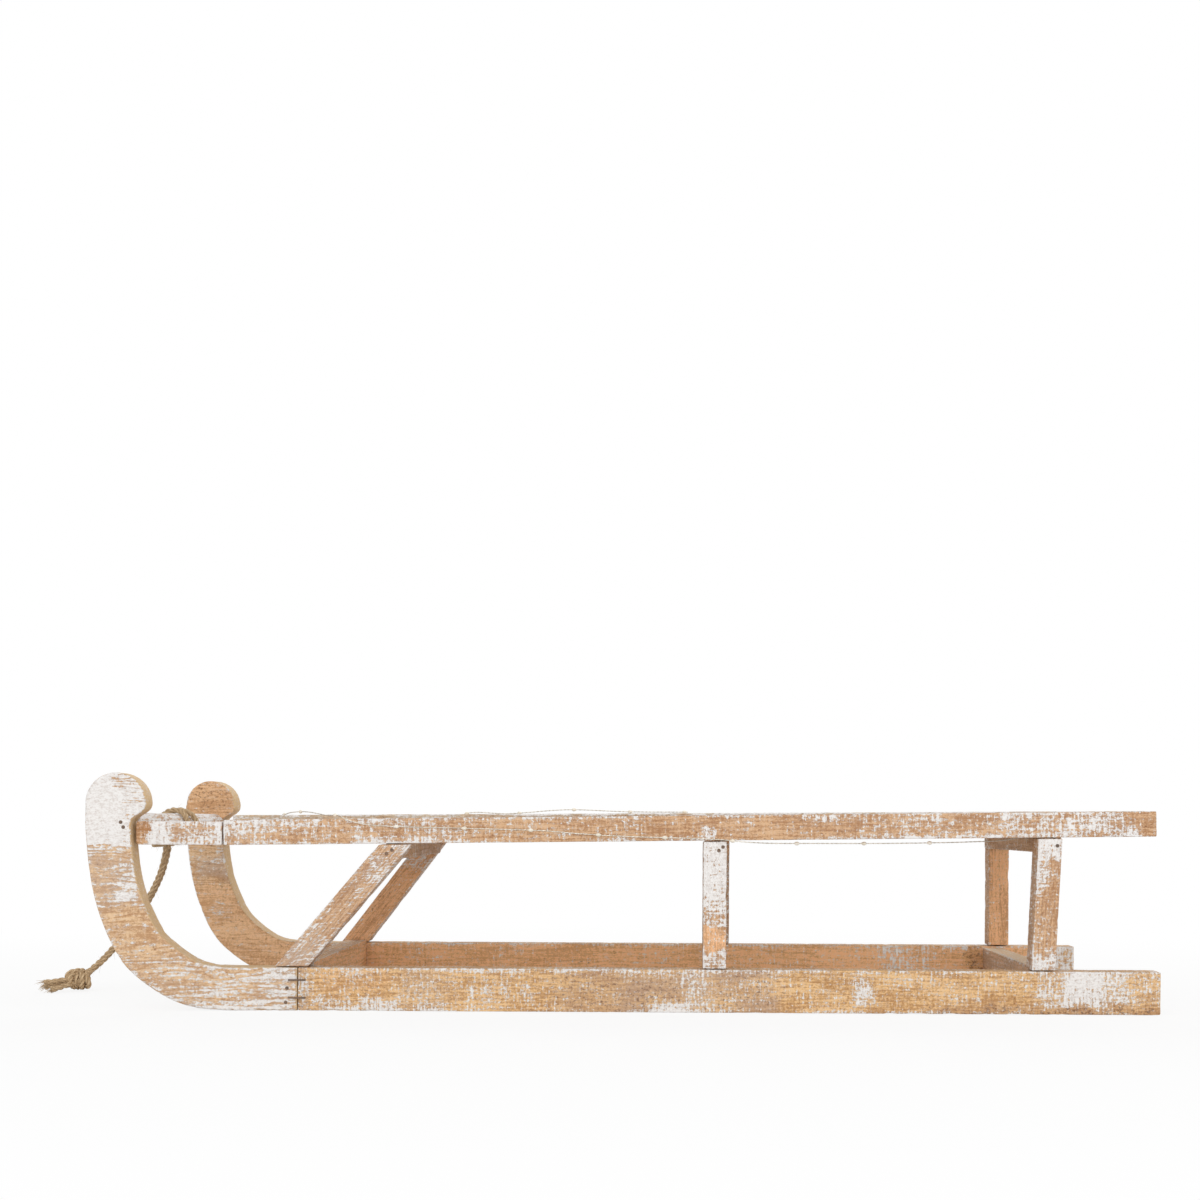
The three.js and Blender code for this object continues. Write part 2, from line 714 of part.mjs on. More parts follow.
const flangeFloor = caseBottom + bayFloor + coverRunning;
const knobMiddle = -switchTravel / 2; // off, towards the left rail
addPiece(battery, "switch_slider", joined([
  box(
    [bayMiddle - knob.x / 2, knobMiddle - knob.y / 2, caseBottom + bayFloor - knob.z],
    [bayMiddle + knob.x / 2, knobMiddle + knob.y / 2, flangeFloor + flangeHeight],
  ),
  box(
    [bayMiddle - knob.x / 2 - flangeLap, knobMiddle - knob.y / 2 - flangeLap, flangeFloor],
    [bayMiddle + knob.x / 2 + flangeLap, knobMiddle + knob.y / 2 + flangeLap, flangeFloor + flangeHeight],
  ),
]), finishes.knob);

const cellTop = -(caseRoof + 2 * seatGap + stripHeight);
for (const i of [0, 1]) {
  const cell = addPiece(
    battery,
    `coin_cell_${i + 1}`,
    new THREE.CylinderGeometry(cellDiameter / 2, cellDiameter / 2, cellThickness, cellSides),
    finishes.cell,
  );
  cell.rotation.x = Math.PI / 2;
  const along = caseWall + cellPlay + cellDiameter / 2 + i * (cellDiameter + cellPlay);
  cell.position.set(along, 0, cellTop - cellThickness / 2);
}
addPiece(battery, "contact_strip", box(
  [caseWall + cellDiameter / 2, -stripWidth / 2, cellTop + seatGap],
  [pocketEnd - cellDiameter / 2, stripWidth / 2, cellTop + seatGap + stripHeight],
), finishes.steel);
addPiece(battery, "adhesive_pad", box(
  [padMargin, padMargin - caseHalf, seatGap],
  [caseLength - padMargin, caseHalf - padMargin, seatGap + padThickness],
), finishes.foam);

// Light string: from the case under the left rail, out along its outer face, over the deck's front and back.
const wirePoints = [
  [710.4, -89.8, 137.1], [710.4, -94, 137], [704, -102, 133.4], [688, -108.5, 130],
  [660, -114.5, 128.4], [600, -119, 127], [540, -119.6, 126.6], [508, -122.4, 126.6],
  [488, -128, 127.6], [468, -128.2, 129.4], [402, -128.1, 131.2], [368, -128.1, 132.9],
  [339, -128.1, 135.1], [280, -128.1, 136.6], [208, -128.1, 139], [193, -128.3, 142.6],
  [187, -125.4, 145.4], [176, -114, 145.6], [158, -98, 148.2], [138, -68, 148],
  [127, -44, 146.4], [114, 0, 145.6], [110, 3.4, 141], [105, 3.2, 135.4],
  [101.4, 4.2, 139.6], [105.2, 5.8, 142.6], [108.6, 6.8, 137.2], [107.6, 8, 130.4],
  [110, 30, 130.2], [107, 51.6, 130.6], [104, 54.2, 138], [108.6, 54.6, 142.4],
  [115, 53.8, 138], [226, 53.2, 136.4], [249, 53, 143.4], [262, 50.6, 148.8],
  [298, 36, 148.4], [349, 20, 151.9], [399, 2, 150.4], [449, -22, 150.2],
];
const wire = new Route(wirePoints);
const wireSpans = wirePoints.length - 1;
const wireFine = fineSteps * wireSpans;
const wireLine = wire.getPoints(wireFine);
const wireRun = runAlong(wireLine);
const wireLength = wireRun[wireFine];

// Beads sit at an even pitch counted back from the wire's end.
const beadCount = Math.floor((wireLength - beadLead) / beadPitch) + 1;
const beads = Array.from({ length: beadCount }, (_, i) => {
  const at = wireRun.findIndex((run) => run >= wireLength - beadLength / 4 - i * beadPitch);
  const along = wire.getTangent(at / wireFine);
  const turn = new THREE.Quaternion().setFromUnitVectors(new THREE.Vector3(0, 1, 0), along);
  const bead = new THREE.SphereGeometry(1 / 2, beadSides, beadRings);
  bead.scale(beadDiameter, beadLength, beadDiameter);
  return bead.applyQuaternion(turn).translate(wireLine[at].x, wireLine[at].y, wireLine[at].z);
});

const wireTube = tube(wire, wireDiameter, wireSides, spanSteps * wireSpans);
addPiece(sledge, "light_wire", joined([wireTube, ...beads]), finishes.wire);

const ropeGap = selfGap(rope.getSpacedPoints(ropeDivisions), ropeDiameter);
const wireGap = selfGap(wireLine, wireDiameter);
console.log(`rope ${ropeLength.toFixed(0)} mm, least gap to itself ${ropeGap.toFixed(2)} mm`);
console.log(`light wire ${wireLength.toFixed(0)} mm, least gap to itself ${wireGap.toFixed(2)} mm`);
console.log(`${beadCount} beads on the light wire`);

// The tips turn about their joints, so their front comes back a little.
const frontX = tipLength * (1 - Math.cos(tipSplay));
sledge.position.x = -(frontX + sledgeLength) / 2;
const part = new THREE.Group();
part.add(sledge);

export default part;
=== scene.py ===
import math

import bpy
import numpy as np
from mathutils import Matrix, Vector


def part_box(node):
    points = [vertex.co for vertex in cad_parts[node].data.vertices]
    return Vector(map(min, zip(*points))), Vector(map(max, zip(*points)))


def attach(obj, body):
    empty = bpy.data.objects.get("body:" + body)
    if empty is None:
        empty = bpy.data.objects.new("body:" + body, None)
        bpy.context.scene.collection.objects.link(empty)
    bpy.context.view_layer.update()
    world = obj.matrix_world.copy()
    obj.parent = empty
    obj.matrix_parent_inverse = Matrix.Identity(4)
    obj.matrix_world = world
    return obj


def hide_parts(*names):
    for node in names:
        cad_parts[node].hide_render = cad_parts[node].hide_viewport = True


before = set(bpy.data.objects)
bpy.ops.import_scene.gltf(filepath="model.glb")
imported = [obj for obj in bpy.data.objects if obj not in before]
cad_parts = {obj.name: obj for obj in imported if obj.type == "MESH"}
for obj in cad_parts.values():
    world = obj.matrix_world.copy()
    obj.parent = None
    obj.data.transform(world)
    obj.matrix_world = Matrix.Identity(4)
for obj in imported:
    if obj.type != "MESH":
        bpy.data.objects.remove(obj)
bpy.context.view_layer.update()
mm = 0.001
frontX = -400.069               # the layout's x = 0 in the frame, in mm


def placed(name, data, place=(0, 0, 0), turn=(0, 0, 0)):
    thing = bpy.data.objects.new(name, data)
    thing.location, thing.rotation_euler = place, turn
    bpy.context.scene.collection.objects.link(thing)
    return thing


# Camera: side on, a third of a degree off level, as far away as the picture's perspective says
cameraSetup = {
    "place": (0.02042, -1.26554, 0.14248),
    "turn": (math.pi / 2, -0.00567, 0),
    "lens": 45.9,
    "sensor": 36,
    "shift": (-0.0438, 0.1845),
}
cameraData = bpy.data.cameras.new("photoCamera")
cameraData.sensor_width = cameraSetup["sensor"]
cameraData.lens = cameraSetup["lens"]
cameraData.shift_x, cameraData.shift_y = cameraSetup["shift"]
bpy.context.scene.camera = placed("photoCamera", cameraData, cameraSetup["place"], cameraSetup["turn"])
print("camera set")


# Meshes

def makeMesh(name, points, quads, triangles):
    # points in mm; every face is a row of point numbers
    mesh = bpy.data.meshes.new(name)
    corners = np.concatenate([quads.ravel(), triangles.ravel()])
    sizes = np.concatenate([np.full(len(quads), 4), np.full(len(triangles), 3)])
    starts = np.cumsum(sizes) - sizes
    mesh.vertices.add(len(points))
    mesh.vertices.foreach_set("co", (points * mm).astype(np.float32).ravel())
    mesh.loops.add(len(corners))
    mesh.loops.foreach_set("vertex_index", corners.astype(np.int32))
    mesh.polygons.add(len(sizes))
    mesh.polygons.foreach_set("loop_start", starts.astype(np.int32))
    mesh.update(calc_edges=True)
    mesh.validate()
    mesh.polygons.foreach_set("use_smooth", np.ones(len(mesh.polygons), dtype=bool))
    return mesh


def ringFaces(ringCount, sides):
    # quads between each ring and the next, and a fan from each end ring to its pole;
    # the points are numbered ring by ring, then the start pole, then the end pole
    side = np.arange(sides)
    after = (side + 1) % sides
    ring = np.arange(ringCount - 1)[:, None] * sides
    quads = np.stack([ring + side, ring + after, ring + sides + after, ring + sides + side], axis=-1)
    start, last = ringCount * sides, (ringCount - 1) * sides
    startFan = np.stack([np.full(sides, start), after, side], axis=-1)
    endFan = np.stack([np.full(sides, start + 1), last + side, last + after], axis=-1)
    return quads.reshape(-1, 4), np.concatenate([startFan, endFan])


def closeRings(rings):
    # the rings' points, then one pole in the middle of each end ring
    flat = rings.reshape(-1, rings.shape[-1])
    return np.concatenate([flat, rings[0].mean(axis=0)[None], rings[-1].mean(axis=0)[None]])


def facesOutwards(points, quads, triangles):
    # true where the closed surface has a positive volume: a sum of signed tetrahedra from the middle
    p = points - points.mean(axis=0)
    tris = np.concatenate([quads[:, [0, 1, 2]], quads[:, [0, 2, 3]], triangles])
    return np.einsum("ij,ij->i", p[tris[:, 0]], np.cross(p[tris[:, 1]], p[tris[:, 2]])).sum() > 0


def addPiece(name, mesh, material, slot, stands=()):
    piece = placed(name, mesh)
    mesh.materials.append(material)
    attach(piece, "sledge")
    if stands:
        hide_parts(*stands)
    return piece


def surfaceMesh(name, ringSets, layers=()):
    # one closed surface for each set of rings, all in one mesh; layers are (name, values for each set)
    points, quads, triangles, first = [], [], [], 0
    for rings in ringSets:
        closed = closeRings(rings)
        q, t = ringFaces(*rings.shape[:2])
        if not facesOutwards(closed, q, t):
            q, t = q[:, ::-1], t[:, ::-1]
        points.append(closed)
        quads.append(q + first)
        triangles.append(t + first)
        first += len(closed)
    mesh = makeMesh(name, np.concatenate(points), np.concatenate(quads), np.concatenate(triangles))
    for layerName, values in layers:
        layer = mesh.attributes.new(layerName, "FLOAT_VECTOR", "POINT")
        vectors = np.concatenate([closeRings(v) for v in values])
        layer.data.foreach_set("vector", vectors.astype(np.float32).ravel())
    return mesh


# Noise and curves

def latticeValue(cell, seed):
    # a whole-number hash of each lattice corner, turned into 0..1
    x, y, z = (cell[..., i].astype(np.int64) for i in range(3))
    h = (x * 73856093) ^ (y * 19349663) ^ (z * 83492791) ^ (seed * 26544357 + 97)
    h = ((h ^ (h >> 13)) * 1274126177) & 0x7fffffff
    h = ((h ^ (h >> 15)) * 668265263) & 0x7fffffff
    return ((h >> 7) & 0xffff) / 65535.0


def softNoise(points, size, seed=0, octaves=2):
    # value noise: the lattice corners' values blended by smooth steps; each octave halves size and weight
    total, weight, reach = 0.0, 1.0, 0.0
    size = np.asarray(size, dtype=float)
    for octave in range(octaves):
        p = points / size
        cell = np.floor(p)
        f = p - cell
        f = f * f * (3 - 2 * f)
        value = 0.0
        for corner in range(8):
            bits = np.array([corner & 1, (corner >> 1) & 1, (corner >> 2) & 1])
            share = np.prod(np.where(bits, f, 1 - f), axis=-1)
            value = value + share * latticeValue(cell + bits, seed + octave * 17)
        total = total + value * weight
        reach += weight
        weight *= 0.5
        size = size * 0.5
    return total / reach


def smoothStep(low, high, value):
    share = np.clip((value - low) / (high - low), 0, 1)
    return share * share * (3 - 2 * share)


def centripetalCurve(points, step):
    # each span is a cubic Hermite whose slopes come from spans timed by the square root of their
    # length; the result is walked at even steps of length
    p = np.asarray(points, dtype=float)
    p = np.concatenate([[2 * p[0] - p[1]], p, [2 * p[-1] - p[-2]]])
    dt = np.maximum(np.linalg.norm(np.diff(p, axis=0), axis=1) ** 0.5, 1e-6)[:, None]
    x0, x1, x2, x3 = p[:-3], p[1:-2], p[2:-1], p[3:]
    d0, d1, d2 = dt[:-2], dt[1:-1], dt[2:]
    m1 = ((x1 - x0) / d0 - (x2 - x0) / (d0 + d1) + (x2 - x1) / d1) * d1
    m2 = ((x2 - x1) / d1 - (x3 - x1) / (d1 + d2) + (x3 - x2) / d2) * d1
    t = np.linspace(0, 1, 40, endpoint=False)[None, :, None]
    x1, x2, m1, m2 = (v[:, None, :] for v in (x1, x2, m1, m2))
    curve = (x1 * (2 * t**3 - 3 * t**2 + 1) + m1 * (t**3 - 2 * t**2 + t)
             + x2 * (-2 * t**3 + 3 * t**2) + m2 * (t**3 - t**2)).reshape(-1, 3)
    return evenSteps(np.concatenate([curve, p[-2:-1]]), step)


def unit(vectors):
    return vectors / np.linalg.norm(vectors, axis=-1, keepdims=True)


def circle(sides):
    angle = np.linspace(0, 2 * math.pi, sides, endpoint=False)
    return np.stack([np.cos(angle), np.sin(angle)], axis=1)


def stations(line):
    # the way along a line to each of its points
    return np.concatenate([[0], np.cumsum(np.linalg.norm(np.diff(line, axis=0), axis=1))])


def evenSteps(line, step):
    length = stations(line)
    walk = np.linspace(0, length[-1], max(2, int(round(length[-1] / step)) + 1))
    return np.stack([np.interp(walk, length, line[:, i]) for i in range(line.shape[1])], axis=1)


def lineLength(line):
    return float(np.linalg.norm(np.diff(line, axis=0), axis=1).sum())


def turnFrames(line):
    # two directions across the line, carried along without twist: each step takes off what lies along
    # the new tangent (a running product, so it goes station by station)
    tangent = unit(np.gradient(line, axis=0))
    side = np.zeros_like(line)
    across = np.cross(tangent[0], [0, 0, 1.0])
    if np.linalg.norm(across) < 0.2:
        across = np.cross(tangent[0], [0, 1.0, 0])
    for i, direction in enumerate(tangent):
        across = across - direction * across.dot(direction)
        across /= np.linalg.norm(across)
        side[i] = across
    return side, np.cross(tangent, side)


# Cords: a twisted rope's surface is the outline of its plies, round bars set evenly about the
# centreline, turned a little more at each station

def pliedRings(line, look, sides=36, swell=None):
    # radius at an angle = the furthest of the plies there:
    # offset * cos(a) + sqrt(ply^2 - (offset * sin(a))^2);
    # also (mm along, angle round the ply, ply) for the fibres
    steps = stations(line)
    side, up = turnFrames(line)
    angle = np.linspace(0, 2 * math.pi, sides, endpoint=False)[None, :]
    turn = (steps / look["lay"] * 2 * math.pi)[:, None]
    a = angle - turn - np.arange(look["plies"])[:, None, None] * 2 * math.pi / look["plies"]
    inside = look["ply"] ** 2 - (look["offset"] * np.sin(a)) ** 2
    reach = look["offset"] * np.cos(a) + np.sqrt(np.maximum(inside, 0))
    reach = np.where(inside > 0, reach, 0.2 * look["ply"])
    nearest = reach.argmax(axis=0)[None]
    radius = np.maximum(np.take_along_axis(reach, nearest, 0)[0], look["ply"] * 0.35)
    ownAngle = np.take_along_axis((a + math.pi) % (2 * math.pi) - math.pi, nearest, 0)[0]
    if swell is not None:
        radius = radius * swell[:, None]
    place = (line[:, None, :] + side[:, None, :] * (np.cos(angle) * radius)[..., None]
             + up[:, None, :] * (np.sin(angle) * radius)[..., None])
    along = np.broadcast_to(steps[:, None], radius.shape)
    return place, np.stack([along, ownAngle, nearest[0] * 7.3], axis=-1)


ropeLook = {"plies": 3, "offset": 1.22, "ply": 1.14, "lay": 15.0, "step": 0.9}
hitchShape = {
    "centreY": 6.4, "wrapRadius": 12.7, "dowel": (25.24, 137.0),
    # degrees up from the rear, and how far from the hitch's middle
    "wrapTurns": [[215, 4.6], [180, 5.2], [135, 5.9], [90, 7], [45, 10], [0, 14], [-45, 18], [-80, 20.8]],
    # ahead of the dowel, away from the middle, below the dowel
    "bight": [[6.7, 21.6, 14.7], [12.6, 18.4, 15.6], [14.4, 10, 15.8]],
    "bightMiddle": [14.6, 0, 15.8],
}
# x, y, z, and how far each strand lies from the middle between the two
strandRoute = [(17.2, 6.4, 121.5, 4), (16.4, 6.3, 113, 3.2), (12.4, 5.6, 97, 2.75), (4, 4.4, 78, 2.7),
               (-8, 3, 58, 2.7), (-21, 1.6, 40, 2.7), (-33, 0.4, 26, 2.7), (-43.4, -0.5, 16.5, 2.7)]


def halfRope(side):
    dowelX, dowelZ = hitchShape["dowel"]
    strand = [[x, y + side * spread, z] for x, y, z, spread in strandRoute[::-1]]
    turned = [(math.radians(degrees), away) for degrees, away in hitchShape["wrapTurns"]]
    wrap = [[dowelX + hitchShape["wrapRadius"] * math.cos(turn), hitchShape["centreY"] + side * away,
             dowelZ + hitchShape["wrapRadius"] * math.sin(turn)] for turn, away in turned]
    bight = [[dowelX - ahead, hitchShape["centreY"] + side * away, dowelZ - below]
             for ahead, away, below in hitchShape["bight"]]
    return strand + wrap + bight


ahead, away, below = hitchShape["bightMiddle"]
middle = [hitchShape["dowel"][0] - ahead, hitchShape["centreY"], hitchShape["dowel"][1] - below]
ropePoints = np.array(halfRope(1) + [middle] + halfRope(-1)[::-1])
ropePoints[:, 0] += frontX
ropeLine = centripetalCurve(ropePoints, ropeLook["step"])
print("rope", round(lineLength(ropeLine), 1), "mm")
strandEnd = 113.0               # mm above the floor, where the hitch begins
ropeRings, ropeTwist = pliedRings(ropeLine, ropeLook)
first = int(np.argmax(ropeLine[:, 2] > strandEnd))
last = len(ropeLine) - int(np.argmax(ropeLine[::-1, 2] > strandEnd))
# neighbours share one ring, so that no gap shows between them
ropeParts = {"rightStrand": slice(0, first + 1), "hitch": slice(first, last),
             "leftStrand": slice(last - 1, len(ropeLine))}


def ropePart(name):
    part = ropeParts[name]
    return surfaceMesh(name, [ropeRings[part]], [("twist", [ropeTwist[part]])]), ropeLine[part]


# Materials: fields stand for sockets, so that a pattern is written as a sum

class Field:
    # one output socket; adding, multiplying and so on make Math nodes
    def __init__(self, finish, socket):
        self.finish = finish
        self.socket = socket

    def maths(self, operation, first, second):
        return self.finish.make("ShaderNodeMath", {"operation": operation}, {0: first, 1: second})

    def __add__(self, other):
        return self.maths("ADD", self, other)

    def __sub__(self, other):
        return self.maths("SUBTRACT", self, other)

    def __mul__(self, other):
        return self.maths("MULTIPLY", self, other)

    def __truediv__(self, other):
        return self.maths("DIVIDE", self, other)

    def __rsub__(self, other):
        return self.maths("SUBTRACT", other, self)

    __radd__ = __add__


class Finish:
    # the nodes of one material or world
    def __init__(self, owner):
        owner.use_nodes = True
        self.owner = owner
        self.tree = owner.node_tree
        self.tree.nodes.clear()

    def make(self, kind, settings=None, sockets=None, output=0):
        node = self.tree.nodes.new(kind)
        for key, value in (settings or {}).items():
            setattr(node, key, value)
        for key, value in (sockets or {}).items():
            if isinstance(value, Field):
                self.tree.links.new(value.socket, node.inputs[key])
            else:
                node.inputs[key].default_value = value
        return Field(self, node.outputs[output])

    def attribute(self, name):
        return self.make("ShaderNodeAttribute", {"attribute_name": name}, output="Vector")

    def parts(self, vector):
        node = self.make("ShaderNodeSeparateXYZ", None, {0: vector}).socket.node
        return [Field(self, socket) for socket in node.outputs]

    def stretched(self, vector, scale):
        return self.make("ShaderNodeVectorMath", {"operation": "MULTIPLY"}, {0: vector, 1: scale})

    def noise(self, vector, scale, detail=2.0, roughness=0.5, seed=0.0):
        place = self.make("ShaderNodeVectorMath", {"operation": "MULTIPLY_ADD"},
                          {0: vector, 1: scale, 2: (seed, seed * 1.7, seed * 0.6)})
        return self.make("ShaderNodeTexNoise", None, {"Vector": place, "Scale": 1.0, "Detail": detail,
                                                      "Roughness": roughness})

    def between(self, value, low, high):
        # 0 at low, 1 at high, smooth in between
        return self.make("ShaderNodeMapRange", {"interpolation_type": "SMOOTHSTEP"},
                         {"Value": value, "From Min": low, "From Max": high})

    def blend(self, share, a, b):
        return self.make("ShaderNodeMix", {"data_type": "RGBA"}, {0: share, 6: a, 7: b}, output=2)

    def length(self, vector):
        return self.make("ShaderNodeVectorMath", {"operation": "LENGTH"}, {0: vector}, output="Value")

    def bump(self, height, strength, distance):
        return self.make("ShaderNodeBump", None,
                         {"Height": height, "Strength": strength, "Distance": distance})

    def surface(self, shader, kind="ShaderNodeOutputMaterial"):
        output = self.tree.nodes.new(kind)
        self.tree.links.new(shader.socket, output.inputs["Surface"])
        return self.owner

    def principled(self, sockets):
        return self.surface(self.make("ShaderNodeBsdfPrincipled", None, sockets))


def colour(red, green, blue):
    # an everyday 0-255 colour as the linear one that a socket takes
    return tuple(((c / 255 + 0.055) / 1.055) ** 2.4 for c in (red, green, blue)) + (1.0,)


def woodFinish(name, look):
    # lengths in mm: "grain" is (along, across, across) from the pith, "state" is (wash, tone, dirt),
    # where tone below nought blends in a warm bright colour: wood that kept its warm colour, and on the
    # far side's inner faces painted light that lifts them out of the shade of the deck and the near side;
    # dirt below nought is a planed face
    f = Finish(bpy.data.materials.new(name))
    grain = f.attribute("grain")
    wash, tone, dirt = f.parts(f.attribute("state"))
    # growth rings: the distance from the pith, bent a little, in steps of a ring's width
    warp = f.noise(grain, (0.008, 0.04, 0.04), 3.0, seed=3.1)
    radius = f.length(f.stretched(grain, (0, 1, 1)))
    turn = f.make("ShaderNodeMath", {"operation": "FRACT"},
                  {0: (radius + warp * look["ringWarp"]) / look["ringWidth"]})
    late = f.between(turn, 0.45, 0.9) * (1.0 - f.between(turn, 0.9, 1.0))
    fibre = f.noise(grain, (0.06, 0.8, 0.8), 3.0, 0.6, seed=1.3)
    cloud = f.noise(grain, (0.02, 0.06, 0.06), 2.0, seed=5.7)
    mottle = f.noise(grain, (0.3, 0.5, 0.5), 3.0, 0.7, seed=17.3)
    grit = f.noise(grain, (0.7, 1.0, 1.0), 2.0, 0.7, seed=21.9)
    # the band saw's marks: ridges across the grain
    sawMarks = f.noise(grain, (0.6, 0.09, 0.09), 2.0, seed=9.2)
    rows = f.noise(grain, (0.03, 0.45, 0.45), 1.0, seed=11.4)
    flecks = f.noise(grain, (look["fleck"], 0.5, 0.5), 3.0, 0.75, seed=13.8)
    cells = f.make("ShaderNodeTexVoronoi", {"feature": "DISTANCE_TO_EDGE"},
                   {"Vector": f.stretched(grain, (0.2, 0.25, 0.25)), "Scale": 1.0, "Randomness": 0.45})
    crackle = (1.0 - f.between(cells, 0.02, 0.12)) * f.between(mottle * 0.6 + fibre * 0.4, 0.42, 0.56)

    shade = ((fibre - 0.5) * 0.6 + (grit - 0.5) * 0.7 + (mottle - 0.5) * 0.7 + (cloud - 0.5) * 0.5
             + (sawMarks - 0.5) * 0.25 + (late - 0.25) * look["ringShade"])
    darker = f.between(shade, -0.17, 0.17)
    body = f.blend(darker, look["light"], look["dark"])
    body = f.blend(tone * f.between(cloud + mottle * 0.6 + grit * 0.4, 0.75, 1.1) * 0.85, body, look["grey"])
    # tone below nought: the warm bright colour, real on near faces and painted light on the far side's
    # shaded inner faces
    body = f.blend(f.between(tone * -1.0, 0.05, 0.6) * (0.95 - darker * 0.6), body, look["fresh"])
    body = f.blend(f.between(dirt, 0.05, 1.2) * (0.35 + cloud * 0.6), body, look["brown"])
    spots = f.between(mottle + grit * 0.5 + dirt * 0.2, 0.92, 1.0)
    body = f.blend(spots * 0.7, body, look["dirt"])
    body = f.blend(f.between(dirt * -1.0, 0.2, 0.8) * (0.45 + cloud * 0.5), body, look["planed"])
    # paint stays where the noise falls below the wash
    bare = (0.54 + (flecks - 0.5) * 2.3 + (sawMarks - 0.5) * look["saw"] + (rows - 0.5) * look["rows"]
            + (cloud - 0.5) * 0.5 + (late - 0.25) * look["rings"] - crackle * look["crackle"])
    cover = wash - bare
    paint = f.between(cover, -0.03, 0.08)
    film = f.between(cover, -0.5, 0.1) * look["film"]
    body = f.blend(film, body, look["veil"])
    patchy = (mottle - 0.5) * 0.9 + (grit - 0.5) * 0.6 + (sawMarks - 0.5) * look["saw"] * 0.3
    whites = f.blend(f.between(patchy, -0.1, 0.2), look["paint"], look["paintShade"])
    whites = f.blend(f.between(grit * 0.7 + mottle * 0.3, 0.62, 0.7) * 0.22, whites, look["dirt"])
    body = f.blend(paint * 0.95, body, whites)
    height = fibre * 0.25 + sawMarks * 0.3 + mottle * 0.3 + grit * 0.2 + paint * 0.45 + late * 0.12
    normal = f.bump(height, 0.7, 0.0008)
    return f.principled({"Base Color": body, "Roughness": 0.66 + fibre * 0.22, "Normal": normal,
                         "Specular IOR Level": 0.25})


def woodLook(light, dark, **changes):
    look = {
        "light": light, "dark": dark, "grey": colour(186, 162, 144), "dirt": colour(104, 76, 56),
        "veil": colour(222, 206, 190), "paint": colour(236, 234, 232), "paintShade": colour(214, 207, 202),
        # fresh: the warm bright colour that tone below nought brings, real warm wood and painted light on
        # shaded far faces
        "brown": colour(160, 112, 74), "planed": colour(214, 186, 142), "fresh": colour(244, 190, 142),
        "ringWidth": 2.6, "ringWarp": 16.0, "ringShade": 0.12, "rings": 0.0,
        "saw": 1.2, "rows": 0.8, "fleck": 0.4, "crackle": 0.25, "film": 0.3,
    }
    look.update(changes)
    return look


# each wood's slot and look
woods = {
    "tipWood": ("tip_wood", woodLook(
        colour(228, 194, 154), colour(186, 142, 101), saw=0.2, rows=1.0, fleck=0.28, crackle=0.0, rings=0.35,
        ringWarp=26.0)),
    "runnerWood": ("runner_wood", woodLook(colour(234, 194, 141), colour(180, 134, 86), saw=1.3)),
    "railWood": ("rail_wood", woodLook(colour(215, 176, 137), colour(170, 123, 83))),
    "crossWood": ("runner_wood", woodLook(
        colour(228, 188, 138), colour(176, 130, 82), crackle=1.0, saw=0.8, rows=0.6, film=0.4)),
    "slatWood": ("slat_wood", woodLook(
        colour(222, 196, 160), colour(176, 140, 102), film=0.7, saw=0.4, fleck=0.16, rows=1.0, crackle=0.0,
        veil=colour(218, 208, 188))),
    "darkWood": ("dark_wood", woodLook(
        colour(222, 178, 138), colour(168, 124, 88), grey=colour(190, 164, 142), dirt=colour(70, 46, 28),
        brown=colour(134, 92, 58), planed=colour(236, 212, 176))),
    "whiteWood": ("white_wood", woodLook(
        colour(218, 180, 138), colour(178, 132, 92), saw=0.2, rows=1.1, fleck=0.14, crackle=0.0)),
}
woods = {name: (woodFinish(name, look), slot) for name, (slot, look) in woods.items()}


def juteFinish():
    # "twist" is (mm along the cord, angle round the ply, ply); fibres slant along each ply
    f = Finish(bpy.data.materials.new("jute"))
    twist = f.attribute("twist")
    along, around, ply = f.parts(twist)
    slant = f.make("ShaderNodeCombineXYZ", None, {0: along * 0.25, 1: around * 2.2 + along * 0.5, 2: ply})
    fibre = f.noise(slant, (1, 1, 1), 3.0, 0.6)
    fine = f.noise(slant, (3, 3, 1), 2.0, 0.6, seed=4.0)
    crease = f.make("ShaderNodeMath", {"operation": "ABSOLUTE"}, {0: around})
    shade = f.between(crease, 0.7, 1.5)
    body = f.blend(f.between(fibre, 0.3, 0.7), colour(212, 186, 150), colour(162, 132, 96))
    body = f.blend(f.between(fine, 0.55, 0.7) * 0.5, body, colour(226, 202, 168))
    body = f.blend(shade * 0.6, body, colour(118, 90, 62))
    normal = f.bump(fibre + fine * 0.5, 0.8, 0.0005)
    return f.principled({"Base Color": body, "Roughness": 0.85, "Normal": normal, "Specular IOR Level": 0.2})


jute = juteFinish()


def plainFinish(name, base, speck, roughness, metallic=0.0, scale=900.0, depth=0.0001):
    f = Finish(bpy.data.materials.new(name))
    place = f.make("ShaderNodeTexCoord", output="Object")
    grit = f.noise(place, (scale, scale, scale), 3.0, 0.6)
    wear = f.noise(place, (scale * 0.12,) * 3, 2.0, 0.5, seed=2.0)
    streaks = f.noise(place, (scale * 0.06, scale * 0.7, scale * 0.7), 2.0, 0.6, seed=8.0)
    scuffs = f.between(streaks, 0.6, 0.7)
    body = f.blend(f.between(grit * 0.5 + wear * 0.5, 0.38, 0.62), base, speck)
    body = f.blend(scuffs * 0.5, body, speck)
    return f.principled({"Base Color": body, "Roughness": roughness + wear * 0.2 + scuffs * 0.1,
                         "Metallic": metallic, "Normal": f.bump(grit + scuffs * 0.4, 0.4, depth)})


